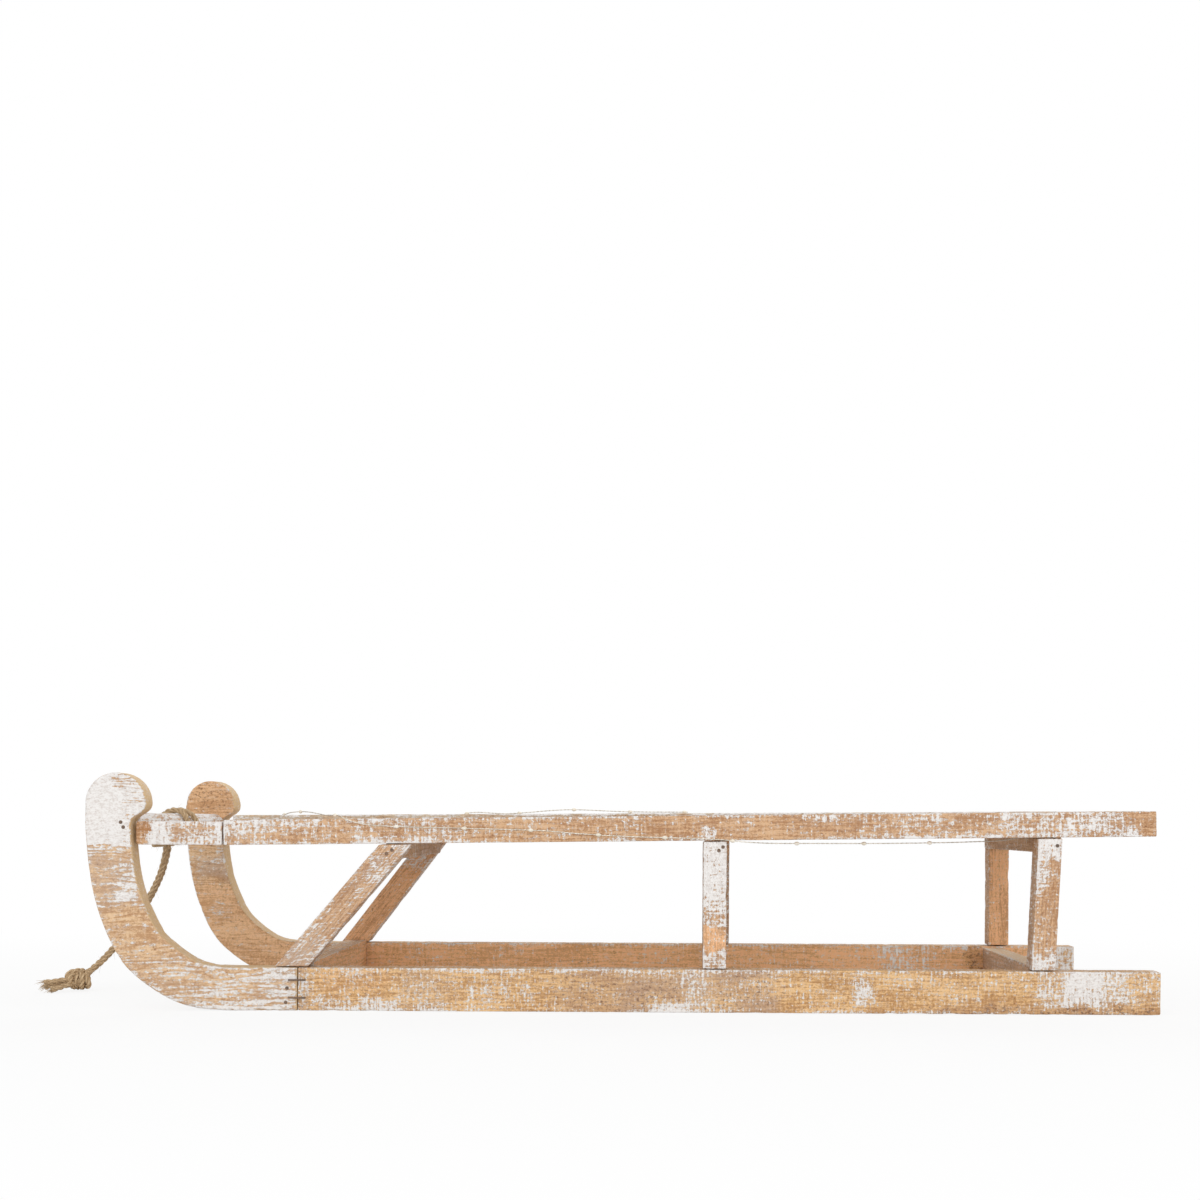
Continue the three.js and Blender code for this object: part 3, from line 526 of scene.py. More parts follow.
plain = {
    # base, speck, roughness, metallic, grain per metre, depth of the bump
    "nailSteel": (colour(92, 78, 68), colour(134, 108, 88), 0.55, 0.3),
    "wireMetal": (colour(186, 178, 164), colour(226, 220, 208), 0.25, 0.9),
    "beadResin": (colour(226, 216, 196), colour(240, 234, 222), 0.15),
    "casePlastic": (colour(52, 51, 50), colour(66, 64, 62), 0.45),
    "knobPlastic": (colour(214, 210, 202), colour(196, 190, 180), 0.4),
    "cellMetal": (colour(176, 176, 174), colour(206, 206, 204), 0.3, 1.0),
    "padFoam": (colour(232, 230, 224), colour(206, 204, 198), 0.9, 0.0, 1500.0, 0.0002),
}
plain = {name: plainFinish(name, *values) for name, values in plain.items()}


def camelName(words):
    first, *rest = words.split("_")
    return first + "".join(word.capitalize() for word in rest)


# the CAD solids that show as they are take the finish named like their material
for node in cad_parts.values():
    for holder in node.material_slots:
        finishName = camelName(holder.material.name.split(".")[0])
        if finishName in plain:
            holder.material = plain[finishName]
print("materials made")


# Rope: three stretches of one twisted rope, its knot and tails

knotShape = {
    "centre": (-52, -1, 9.6),
    # each wrap: place along the knot, half width, half height, lean in degrees
    "wraps": [(-6.3, 6.5, 5.8, 13), (-2.1, 7.9, 6.7, 19), (2.2, 8.0, 6.7, -15), (6.3, 6.7, 6.0, -23),
              (0, 5.6, 4.6, 4), (0.5, 2.8, 2.4, 0)],
    "cores": [[[-42.6, 2.2, 17.2], [-47, 2, 13.6], [-52, 1.6, 10.4], [-57, 0, 9.6]],
              [[-42.6, -3.2, 17.2], [-47, -3.2, 13.2], [-52, -3, 9.8], [-57, -4, 9]]],
    "tails": [[[-54, -4, 10], [-62, -9, 9.6], [-70, -13, 8.6], [-76, -15.6, 8]],
              [[-54, -2, 8], [-64, -5, 6.6], [-72, -6.8, 5], [-78, -8, 3.9]],
              [[-53, -5, 7], [-60, -13, 5], [-64.5, -18.4, 3.4], [-67.4, -21.8, 2.9]]],
    "tailHairs": 18, "hairs": 280,
}


def wrapLine(place, halfWidth, halfHeight, lean):
    # an ellipse round the knot's axis that leans as its y grows, with a slight wave
    t = np.linspace(-0.5, 1.5, 90) * math.pi
    y = halfWidth * np.cos(t)
    x = place + math.tan(math.radians(lean)) * y + 0.5 * np.sin(2 * t + place)
    return np.stack([x, y, halfHeight * np.sin(t)], axis=1) + np.array(knotShape["centre"]) + [frontX, 0, 0]


def hairPiece(name, starts, directions, lengths, droop, width):
    # every hair leaves along its direction, falls with the square of the way along it, and tapers
    directions = unit(directions)
    share = np.linspace(0, 1, 6)
    line = starts[:, None] + directions[:, None] * (lengths[:, None] * share)[..., None]
    line[..., 2] = np.maximum(line[..., 2] - droop[:, None] * lengths[:, None] * share**2, 0.3)
    across = unit(np.cross(directions, [0.2, 0.3, 1.0]))
    ring = circle(3) @ np.stack([across, np.cross(directions, across)], axis=1)
    rings = line[:, :, None] + ring[:, None] * (width * (1 - 0.7 * share))[None, :, None, None]
    twist = np.zeros_like(rings)
    twist[..., 0] = (np.arange(len(rings)) * 3.7)[:, None, None]
    return addPiece(name, surfaceMesh(name, list(rings), [("twist", list(twist))]), jute, "jute")


dice = np.random.default_rng(37)
frayStarts, frayDirections = [], []
knotParts = [pliedRings(wrapLine(*wrap), ropeLook) for wrap in knotShape["wraps"]]
for route in knotShape["cores"] + knotShape["tails"]:
    line = centripetalCurve(np.array(route, dtype=float) + [frontX, 0, 0], 0.8)
    share = np.linspace(0, 1, len(line))
    isTail = route in knotShape["tails"]
    swell = 1 - 0.12 * share + 0.3 * smoothStep(0.8, 1.0, share) if isTail else None
    knotParts.append(pliedRings(line, ropeLook, swell=swell))
    if isTail:
        # a brush of loose fibres at the cut end
        ahead = unit(line[-1] - line[-4])
        spread = dice.normal(size=(knotShape["tailHairs"], 3)) * [0.25, 0.3, 0.22]
        frayStarts.append(line[-1] - ahead * 1.5 + spread * 3.2)
        frayDirections.append(ahead + spread)
knotRings, knotTwists = zip(*knotParts)
knotMesh = surfaceMesh("ropeKnot", knotRings, [("twist", knotTwists)])
knot = addPiece("ropeKnot", knotMesh, jute, "jute", stands=["rope_knot"])
frayStarts, frayDirections = np.concatenate(frayStarts), np.concatenate(frayDirections)
tailHairs = hairPiece("tailHairs", frayStarts, frayDirections, dice.uniform(3.5, 7.0, len(frayStarts)),
                      dice.uniform(0, 0.3, len(frayStarts)), 0.22)
# fine hairs that stand off the rope, each leaning along it
picks = dice.integers(4, len(ropeLine) - 4, knotShape["hairs"])
sides = dice.integers(0, ropeRings.shape[1], knotShape["hairs"])
outwards = ropeRings[picks, sides] - ropeLine[picks]
leans = (ropeLine[picks + 3] - ropeLine[picks - 3]) * dice.uniform(-0.7, 0.7, (knotShape["hairs"], 1))
ropeHairs = hairPiece("ropeHairs", ropeRings[picks, sides] - outwards * 0.1, outwards * 0.5 + leans,
                      dice.uniform(1.5, 3.0, len(picks)) ** 1.7, dice.uniform(-0.3, 0.5, len(picks)), 0.09)

addPiece("ropeHitch", ropePart("hitch")[0], jute, "jute", stands=["rope_hitch"])
for side in ("right", "left"):
    mesh, line = ropePart(side + "Strand")
    strandPiece = addPiece(side + "Strand", mesh, jute, "jute", stands=["rope_strand_" + side])
    line = line if side == "left" else line[::-1]
print("rope made")


# Micro lights: two thin wires twisted together, with resin drops

wireLook = {"plies": 2, "offset": 0.21, "ply": 0.235, "lay": 7.0, "step": 0.9, "beads": 22, "pitch": 50.0,
            "beadLength": 4.6, "beadWidth": 2.8}
wireRoute = [
    [710.4, -89.8, 137.1], [710.4, -94, 137], [704, -102, 133.4], [688, -108.5, 130], [660, -114.5, 128.4],
    [600, -119, 127], [540, -119.6, 126.6], [508, -122.4, 126.6], [488, -128, 127.6], [468, -128.2, 129.4],
    [402, -128.1, 131.2], [368, -128.1, 132.9], [339, -128.1, 135.1], [280, -128.1, 136.6],
    [208, -128.1, 139], [193, -128.3, 142.6], [187, -125.4, 145.4], [176, -114, 145.6], [158, -98, 148.2],
    [138, -68, 148],
    [127, -44, 146.4], [114, 0, 145.6], [110, 3.4, 141], [105, 3.2, 135.4], [101.4, 4.2, 139.6],
    [105.2, 5.8, 142.6], [108.6, 6.8, 137.2], [107.6, 8, 130.4], [110, 30, 130.2], [107, 51.6, 130.6],
    [104, 54.2, 138], [108.6, 54.6, 142.4], [115, 53.8, 138], [226, 53.2, 136.4], [249, 53, 143.4],
    [262, 50.6, 148.8], [298, 36, 148.4], [349, 20, 151.9], [399, 2, 150.4], [449, -22, 150.2],
]
wireLine = centripetalCurve(np.array(wireRoute) + [frontX, 0, 0], wireLook["step"])
wireRings, wireTwist = pliedRings(wireLine, wireLook, sides=12)
wireMesh = surfaceMesh("lightWire", [wireRings], [("twist", [wireTwist])])
wire = addPiece("lightWire", wireMesh, plain["wireMetal"], "light_wire", stands=["light_wire"])


def beadRings(place, direction):
    # a drop: its radius swells fast from one end and tapers to the other
    t = np.linspace(0.02, 0.98, 11)
    radius = wireLook["beadWidth"] / 2 * np.sin(math.pi * t ** 0.82) ** 0.75
    line = place + direction * ((t - 0.5) * wireLook["beadLength"])[:, None]
    across = unit(np.cross(direction, [0.0, 0.3, 1.0]))
    ring = circle(14) @ np.stack([across, np.cross(direction, across)])
    return line[:, None, :] + ring * radius[:, None, None]


wireTangent = unit(np.gradient(wireLine, axis=0))
wireSteps = stations(wireLine)
beadPlaces = wireSteps[-1] - wireLook["beadLength"] / 2 - np.arange(wireLook["beads"]) * wireLook["pitch"]
nearest = [int(np.argmin(np.abs(wireSteps - place))) for place in beadPlaces]
beadSets = [beadRings(wireLine[at], wireTangent[at]) for at in nearest]
beads = addPiece("lightBeads", surfaceMesh("lightBeads", beadSets), plain["beadResin"], "light_wire")
print("lights made")


# Wood: each sawn piece is a fine skin over the CAD solid's corners

def nodePoints(name):
    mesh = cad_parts[name].data
    points = np.empty(len(mesh.vertices) * 3, dtype=np.float32)
    mesh.vertices.foreach_get("co", points)
    return points.reshape(-1, 3).astype(float) / mm


endDepth = 1.2                  # mm: points this near to an end's last one belong to the end
arrisGap = 0.8                  # mm from an arris to the first point on the flat


def endCorners(points, axis):
    # the eight corners: at each end, the points furthest out in the four diagonal directions
    others = [i for i in range(3) if i != axis]
    corners = np.zeros((2, 2, 2, 3))
    for end, sign in enumerate((-1, 1)):
        reach = (points[:, axis] * sign).max()
        rim = points[points[:, axis] * sign > reach - endDepth]
        low, high = rim[:, others].min(axis=0), rim[:, others].max(axis=0)
        spread = (rim[:, others] - low) / np.maximum(high - low, 1e-6) * 2 - 1
        for a, signA in enumerate((-1, 1)):
            for b, signB in enumerate((-1, 1)):
                score = spread[:, 0] * signA + spread[:, 1] * signB + rim[:, axis] * sign * 0.01
                corners[end, a, b] = rim[int(np.argmax(score))]
    return corners


def roundedRectangle(half, radius, step):
    # points round a rectangle with round corners: three on each corner, then the side, closer near its
    # ends; also the outward directions and how far each point lies from the nearest arris
    points, normals, arris = [], [], []
    signs = [(1, 1), (-1, 1), (-1, -1), (1, -1)]
    for i, (sx, sy) in enumerate(signs):
        start = i * math.pi / 2
        corner = np.array([sx * (half[0] - radius), sy * (half[1] - radius)])
        for angle in (start, start + math.pi / 4, start + math.pi / 2):
            direction = np.array([math.cos(angle), math.sin(angle)])
            points.append(corner + radius * direction)
            normals.append(direction)
            arris.append(0.0)
        nx, ny = signs[(i + 1) % 4]
        a = points[-1]
        b = np.array([nx * (half[0] - radius), ny * (half[1] - radius)]) + radius * direction
        length = float(np.linalg.norm(b - a))
        count = max(1, int(round((length - 2 * arrisGap) / step)))
        for place in np.linspace(arrisGap, length - arrisGap, count + 1):
            points.append(a + (b - a) * place / length)
            normals.append(direction)
            arris.append(min(place, length - place))
    return np.array(points), np.array(normals), np.array(arris)


# depths in mm; the sizes of the noise are along the board and across it
boardLook = {
    "radius": 0.9, "step": 2.6, "waves": 0.28, "dents": 0.16, "chips": 1.1, "ragged": 0.7,
    "waveSize": (14, 7, 7), "dentSize": (5, 3, 3), "chipSize": (9, 6, 6), "raggedSize": (3, 2.2, 3.4),
}


def boardRings(corners, seed):
    # a box whose eight corners are free: ring points in mm round the section, worn edges and saw waves
    # pressed inwards, then each placed by blending the corners along, across and deep
    length = np.linalg.norm(corners[1].mean(axis=(0, 1)) - corners[0].mean(axis=(0, 1)))
    half = np.array([np.linalg.norm(corners[:, 1] - corners[:, 0], axis=-1).mean(),
                     np.linalg.norm(corners[:, :, 1] - corners[:, :, 0], axis=-1).mean()]) / 2
    radius = min(boardLook["radius"], half.min() * 0.4)
    section, normals, arris = roundedRectangle(half, radius, boardLook["step"])
    count = max(4, int(round(length / boardLook["step"])))
    middle = np.linspace(radius, length - radius, count)
    curb = radius * 0.3
    shrinks = np.array([0.18, 0.45, 0.72, 0.92])
    inset = np.concatenate([np.full(5, radius), [curb], np.zeros(count), [curb], np.full(5, radius)])
    shrink = np.concatenate([shrinks, np.ones(count + 4), shrinks[::-1]])
    s = np.concatenate([np.zeros(5), [curb], middle, [length - curb], np.full(5, length)])
    ring = section[None] - normals[None] * inset[:, None, None]
    ring = ring * shrink[:, None, None]
    place = np.concatenate([np.broadcast_to(s[:, None, None], ring.shape[:2] + (1,)), ring], axis=-1)
    edge = np.broadcast_to(arris[None], ring.shape[:2])
    fromEnd = np.minimum(s, length - s)[:, None]
    waves = softNoise(place, boardLook["waveSize"], seed, 3)
    dents = softNoise(place, boardLook["dentSize"], seed + 5, 2)
    chips = smoothStep(0.58, 0.85, softNoise(place, boardLook["chipSize"], seed + 9, 3))
    chips = chips * np.exp(-edge / 1.6)
    depth = boardLook["waves"] * waves + boardLook["dents"] * dents + boardLook["chips"] * chips
    depth = np.minimum(depth, half.min() * 0.3) * (shrink[:, None] > 0.99)
    ring = ring - normals[None] * depth[..., None]
    rough = softNoise(place, boardLook["raggedSize"], seed + 21, 2) * np.exp(-fromEnd / 0.7)
    rough = rough * boardLook["ragged"]
    s = s[:, None] + rough * np.where(s[:, None] < length / 2, 1, -1)
    share = (s / length)[..., None]
    u = ((ring[..., 0] / half[0] + 1) / 2)[..., None]
    v = ((ring[..., 1] / half[1] + 1) / 2)[..., None]
    ends = [(corners[e, 0, 0] * (1 - u) + corners[e, 1, 0] * u) * (1 - v)
            + (corners[e, 0, 1] * (1 - u) + corners[e, 1, 1] * u) * v for e in (0, 1)]
    return ends[0] * (1 - share) + ends[1] * share, place, edge


faceDirections = {"near": (0, -1, 0), "far": (0, 1, 0), "front": (-1, 0, 0), "rear": (1, 0, 0),
                  "top": (0, 0, 1), "under": (0, 0, -1)}
wide = 1e4                      # mm, for a side of a patch that is left open
cameraX, cameraY, cameraZ = (v / mm for v in cameraSetup["place"])
sideView = {"middle": (652.56, 821.44), "pixels": 1530}
frontView = {"middle": 600.5, "floor": 472, "scale": 1.97}
outerY, innerY = -126.5, 108.5  # mm: the near side's outer faces, and the far side's inner ones


def patch(face, *state, x=(-wide, wide), y=(-wide, wide), z=(-wide, wide)):
    # inside this box the faces that look this way take the wash, the tone and the dirt of the state
    return face, (x[0], y[0], z[0]), (x[1], y[1], z[1]), state


def near(*rows, y=outerY):
    # rows of the side view's left, right, top and bottom pixels and a state, for faces at this y
    scale = (y - cameraY) / sideView["pixels"]
    patches = []
    for left, right, top, bottom, *state in rows:
        x = [cameraX + (px - sideView["middle"][0]) * scale for px in (left, right)]
        z = [cameraZ + (sideView["middle"][1] - px) * scale for px in (bottom, top)]
        patches.append(patch("near", *state, x=x, z=z))
    return patches


def front(*rows):
    # the same by the front view's pixels, where left is +Y
    patches = []
    for left, right, top, bottom, *state in rows:
        y = [-(px - frontView["middle"]) / frontView["scale"] for px in (left, right)][::-1]
        z = [(frontView["floor"] - px) / frontView["scale"] for px in (bottom, top)]
        patches.append(patch("front", *state, y=y, z=z))
    return patches


def patched(values, points, normals, patches, seed):
    # each patch takes over inside its box, on the faces that look its way; the wash has a ragged rim,
    # tone and dirt a wide soft one
    ragged = [(softNoise(points, (8, 8, 8), seed + 47 + i, 3) - 0.5) * 16 for i in range(3)]
    for face, low, high, state in patches:
        facing = smoothStep(0.4, 0.75, normals @ np.array(faceDirections[face], dtype=float))
        for k, value in enumerate(state):
            inside = facing
            for i in range(3):
                if abs(low[i]) < wide:
                    soft = min((3.5, 12.0, 12.0)[k], (high[i] - low[i]) * 0.3)
                    place = points[..., i] + ragged[i]
                    inside = inside * smoothStep(low[i] - soft, low[i] + soft, place)
                    inside = inside * smoothStep(-high[i] - soft, -high[i] + soft, -place)
            values[..., k] = values[..., k] * (1 - inside) + value * inside
    return values


def gridNormals(rings):
    # across the two grid directions, pointing away from each ring's middle
    a = np.gradient(rings, axis=0)
    b = np.roll(rings, -1, axis=1) - np.roll(rings, 1, axis=1)
    n = np.cross(a, b)
    n /= np.maximum(np.linalg.norm(n, axis=-1), 1e-9)[..., None]
    out = rings - rings.mean(axis=1, keepdims=True)
    return n * np.sign(np.einsum("ijk,ijk->ij", n, out).mean())


def stateOf(rings, look, seed, edge=None):
    # wash, tone and dirt: levels that drift in soft clouds, then the patches, then paint held by arrises
    normals = gridNormals(rings)
    clouds = [softNoise(rings, size, seed + 31 + i * 10, 3) - 0.5
              for i, size in enumerate(((45, 20, 20), (60, 25, 25), (28, 12, 12)))]
    base = (look.get("wash", 0.3), look.get("tone", 0.3), look.get("dirt", 0.15))
    values = np.stack(clouds, axis=-1) * (0.6, 1.2, 1.2) + base
    values = patched(values, rings, normals, look.get("patches", ()), seed)
    if edge is not None:
        held = np.exp(-edge / 0.9) * smoothStep(0.35, 0.6, softNoise(rings, (16, 8, 8), seed + 91, 3))
        values[..., 0] += held * look.get("edges", 0.35)
    return values


# each board's wood is railWood and its wash 0.3 where it doesn't say
boards = {
    "runner_bar_left": {"wood": "runnerWood", "axis": 0, "seed": 11, "edges": 0.3, "patches": near(
        (290, 1170, 960, 1020, 0.22, 0.1, 0.1), (297, 313, 960, 1020, 0.42, 0.5, 0.5),
        (313, 400, 960, 1001, 0.26, -0.2, 0.15), (340, 375, 965, 980, 0.46),
        (400, 450, 960, 1020, 0.3, 0.3, 0.2), (450, 560, 960, 1020, 0.25, 0.0, 0.0),
        (466, 474, 978, 1001, 0.5), (484, 491, 979, 1001, 0.55), (500, 512, 981, 1001, 0.48),
        (522, 530, 982, 999, 0.5), (560, 620, 960, 1020, 0.16, 0.4, 0.5), (600, 710, 966, 978, 0.45),
        (620, 700, 978, 1020, 0.16, 0.8, 0.55), (684, 713, 960, 1020, 0.46, 0.6, 0.2),
        (713, 780, 960, 1020, 0.24, 0.7, 0.5), (780, 930, 960, 1020, 0.2, 0.0, 0.0),
        (853, 873, 978, 1003, 0.7), (930, 1040, 960, 1020, 0.22, 0.0, 0.05),
        (1040, 1068, 960, 1020, 0.5, 0.2, 0.1), (1068, 1106, 960, 1004, 0.86, 0.6, 0.2),
        (1106, 1134, 960, 1006, 0.55, 0.5, 0.2), (1134, 1170, 960, 1020, 0.3, 0.1, 0.2),
        (318, 400, 1002, 1020, 0.56), (420, 445, 1003, 1020, 0.6), (655, 690, 1004, 1020, 0.7),
        (930, 1165, 1005, 1020, 0.12, 0.3, 0.8), (450, 1165, 962, 971, 0.42))},
    # far bar's inner face: tone below nought is painted light that lifts it out of the shade of the deck and
    # the near bar; the row at 966-984 with dirt 0.6 is painted shade in the joint ahead of the rear cross
    # member
    "runner_bar_right": {"wood": "runnerWood", "axis": 0, "seed": 23, "patches": near(
        (270, 1160, 900, 1010, 0.06, -0.6, -0.1), (700, 726, 944, 968, 0.4), (880, 935, 940, 970, 0.4),
        (400, 1000, 930, 945, 0.3), (1052, 1090, 930, 985, 0.56, 0.4, 0.0),
        (966, 984, 930, 985, 0.0, -0.4, 0.6), y=innerY)},
    "front_cross_member": {"wood": "crossWood", "axis": 1, "wash": 0.1, "seed": 37, "edges": 0.5,
        "patches": front((380, 820, 380, 450, 0.1, 0.0, 0.15), (440, 474, 386, 416, 0.95),
        (398, 416, 432, 452, 0.9), (425, 530, 386, 425, 0.2), (536, 556, 414, 438, 0.85),
        (600, 785, 384, 450, 0.22, 0.2, 0.2), (700, 745, 400, 430, 0.4), (764, 788, 434, 450, 0.66),
        (385, 422, 380, 432, -0.4, 0.1, 1.0), (788, 815, 380, 450, -0.4, 0.0, 0.6))
        # the rear face's tone below nought is painted light that lifts the face out of its shade
        + [patch("rear", -0.5, -0.8, 0.0)]},
    "rail_block_left": {"axis": 0, "wash": 0.5, "seed": 41, "patches": near(
        (130, 151, 800, 860, 0.14, 0.0, 0.2), (151, 171, 800, 860, 0.92), (171, 232, 800, 860, 0.52),
        (217, 232, 800, 860, 0.75))},
    "rail_block_right": {"axis": 0, "wash": 0.45, "seed": 53},
    "deck_rail_left": {"axis": 0, "seed": 67, "edges": 0.3, "patches": near(
        (224, 1170, 800, 860, 0.16, 0.1, 0.05), (220, 278, 800, 860, 0.42), (220, 324, 800, 828, 0.58),
        (220, 230, 800, 860, 0.85), (278, 340, 826, 860, 0.33), (324, 370, 800, 832, 0.36),
        (370, 404, 800, 826, 0.62), (404, 480, 824, 845, 0.38), (350, 450, 838, 860, 0.5),
        (450, 640, 800, 832, 0.24), (640, 705, 800, 860, 0.14), (704, 718, 826, 850, 0.8),
        (684, 704, 832, 850, 0.4), (716, 800, 800, 860, 0.1), (800, 850, 800, 824, 0.42),
        (850, 900, 800, 860, 0.32), (900, 950, 800, 860, 0.38), (950, 995, 800, 860, 0.28),
        (995, 1060, 800, 860, 0.46), (1060, 1095, 800, 860, 0.52), (1092, 1122, 800, 830, 0.64),
        (1110, 1140, 824, 850, 0.62), (1138, 1170, 800, 860, 0.1, 0.1, 0.2))},
    "deck_rail_right": {"axis": 0, "wash": 0.35, "seed": 79},
    "strut_left": {"axis": 2, "seed": 83, "patches": near((270, 420, 830, 975, 0.2, 0.2, 0.1),
        (364, 390, 855, 886, 0.46), (394, 414, 838, 856, 0.62), (284, 322, 928, 970, 0.36, 0.9, 0.2),
        (340, 362, 880, 905, 0.34))},
    # far strut's inner face: tone below nought is painted light that lifts it out of its shade
    "strut_right": {"axis": 2, "seed": 97, "patches": near((300, 460, 830, 975, 0.0, -0.5, 0.1),
        (400, 450, 838, 872, 0.42), y=innerY)},
    "mid_post_left": {"axis": 2, "seed": 101, "patches": near((695, 740, 830, 902, 0.86, 0.3, 0.0),
        (722, 740, 868, 906, 0.6), (695, 740, 902, 912, 0.6), (695, 740, 911, 918, 0.3, 0.0, 0.2),
        (695, 740, 918, 925, 0.62), (695, 740, 926, 951, 0.14, -0.6, -0.1), (695, 740, 951, 980, 0.56))},
    "mid_post_right": {"axis": 2, "wash": 0.25, "seed": 113, "patches": front(
        (760, 840, 240, 400, 0.1, 0.0, 0.2))},
    "rear_post_left": {"axis": 2, "seed": 127, "patches": near((1020, 1070, 830, 980, 0.12, 0.1, 0.05),
        (1034, 1064, 830, 858, 0.72), (1034, 1050, 856, 880, 0.66), (1030, 1046, 878, 892, 0.5),
        (1020, 1070, 948, 980, 0.62))},
    # far rear post's inner face: tone below nought is painted light that lifts it out of its shade
    "rear_post_right": {"axis": 2, "wash": 0.2, "seed": 131, "patches": near(
        (980, 1030, 840, 960, -0.1, -0.6, 0.0), y=innerY)},
    "front_batten": {"axis": 1, "wash": 0.12, "seed": 149},
    "mid_batten": {"axis": 1, "wash": 0.12, "seed": 151},
    "rear_batten": {"axis": 1, "wash": 0.12, "seed": 163},
    "rear_cross_member": {"wood": "darkWood", "axis": 1, "wash": 0.1, "dirt": 0.4, "seed": 173,
        "patches": [patch("front", 0.2, 0.5, 0.0), patch("top", 0.3, 0.0, -1.0)]},
}
# wash, tone, dirt, seed
slats = {1: (0.34, 0.4, 0.4, 181), 2: (0.42, 0.4, 0.3, 193), 3: (0.42, 0.3, 0.2, 211),
         4: (0.38, 0.5, 0.3, 223)}
for number, (wash, tone, dirt, seed) in slats.items():
    # brown sawn ends under a white fringe
    boards["slat_%d" % number] = {
        "wood": "slatWood", "axis": 0, "wash": wash, "tone": tone, "dirt": dirt, "seed": seed, "edges": 0.5,
        "patches": [patch("front", 0.06, 0.1, 0.5), patch("top", 0.72, x=(-320, -292))]}
boards["slat_4"]["patches"].append(patch("front", 1.0, y=(-110, -84)))


def woodPiece(node, rings, grain, state, wood):
    mesh = surfaceMesh(camelName(node), [rings], [("grain", [grain]), ("state", [state])])
    addPiece(camelName(node), mesh, *woods[wood], stands=[node])


for node, look in boards.items():
    corners = endCorners(nodePoints(node), look["axis"])
    rings, place, edge = boardRings(corners, look["seed"])
    pith = np.array([0.0, 35 + look["seed"] % 17, -28 - look["seed"] % 23])
    grain = place + pith + [look["seed"] * 37.0, 0, 0]
    state = stateOf(rings, look, look["seed"], edge)
    woodPiece(node, rings, grain, state, look.get("wood", "railWood"))
print("boards made")


# Runner tips: a band between the sole's curve and its inner edge, then level cuts over the round head

tipShape = {
    "length": 156.4, "height": 176.5, "thickness": 18.8, "splay": 2.4, "faceY": 126.5,
    "sole": [[1, 0], [0.84, 0], [0.673, 0], [0.483, 0.02], [0.317, 0.093], [0.175, 0.206], [0.081, 0.373],
             [0.029, 0.541], [0.003, 0.739]],
    "widths": [32.4, 32.4, 34.8, 33, 33], "halfWidth": 16.5, "headRadius": 22.4, "headZ": 154.1,
    "neckTop": 137.8, "arris": 1.2, "step": 2.0, "waves": 0.3,
}


def soleCurve():
    # a uniform Catmull-Rom through the sole's points, its ends doubled
    p = np.array(tipShape["sole"]) * [tipShape["length"], tipShape["height"]]
    p = np.concatenate([p, [[0, tipShape["headZ"]]]])
    p = np.concatenate([p[:1], p, p[-1:]])
    t = np.linspace(0, 1, 30, endpoint=False)[None, :, None]
    p0, p1, p2, p3 = (p[i:len(p) - 3 + i][:, None, :] for i in range(4))
    v0, v1 = (p2 - p0) / 2, (p3 - p1) / 2
    curve = (2 * p1 - 2 * p2 + v0 + v1) * t**3 + (-3 * p1 + 3 * p2 - 2 * v0 - v1) * t**2 + v0 * t + p1
    return np.maximum(evenSteps(np.concatenate([curve.reshape(-1, 2), p[-1:]]), 2.2), 0)


def tipEdges():
    whole = outer = soleCurve()
    tangent = unit(np.gradient(outer, axis=0))
    share = np.linspace(0, 1, len(outer))
    width = np.interp(share, np.linspace(0, 1, 5), tipShape["widths"])
    inner = outer + np.stack([tangent[:, 1], -tangent[:, 0]], axis=1) * width[:, None]
    # the inner edge is drawn fair: a running mean over 11 points, with the ends repeated
    padded = np.concatenate([np.repeat(inner[:1], 5, axis=0), inner, np.repeat(inner[-1:], 5, axis=0)])
    fair = np.stack([np.convolve(padded[:, i], np.full(11, 1 / 11), mode="valid") for i in range(2)], axis=1)
    ease = smoothStep(0.0, 0.12, share) * (1 - smoothStep(0.9, 1.0, share))
    inner = inner + (fair - inner) * ease[:, None]
    keep = inner[:, 1] < tipShape["neckTop"]
    outer, inner = outer[keep], inner[keep]
    # above the neck: the shoulder's curve on the inner side, then the head's circle on both
    radius, centreZ = tipShape["headRadius"], tipShape["headZ"]
    neckX = inner[-1, 0]
    t = np.linspace(0, 1, 60)[:, None]
    pull = np.array([0, 9])
    a, d = np.array([2 * radius, centreZ]), np.array([neckX, tipShape["neckTop"]])
    b, c = a - pull, d + pull
    shoulder = (a * (1 - t)**3 + 3 * b * t * (1 - t)**2 + 3 * c * t**2 * (1 - t) + d * t**3)[::-1]
    z = np.concatenate([np.arange(tipShape["neckTop"], centreZ, 1.6),
                        centreZ + radius * np.sin(np.linspace(0, math.pi / 2, 22))])
    z[-1] -= 0.02
    rise = np.sqrt(np.maximum(radius**2 - np.maximum(z - centreZ, 0)**2, 0))
    front = np.where(z < centreZ, np.interp(z, whole[:, 1], whole[:, 0]), radius - rise)
    back = np.where(z < centreZ, np.interp(z, shoulder[:, 1], shoulder[:, 0]), radius + rise)
    # the last sloped cut swings level over the neck
    lead = np.linspace(0, 1, 8)[1:-1]
    outerZ = outer[-1, 1] + (z[0] - outer[-1, 1]) * lead
    bridge = np.stack([np.interp(outerZ, whole[:, 1], whole[:, 0]), outerZ], axis=1)
    innerZ = inner[-1, 1] + (z[0] - inner[-1, 1]) * lead
    innerBridge = np.stack([np.full_like(innerZ, neckX), innerZ], axis=1)
    outer = np.concatenate([outer, bridge, np.stack([front, z], axis=1)])
    inner = np.concatenate([inner, innerBridge, np.stack([back, z], axis=1)])
    return outer, inner


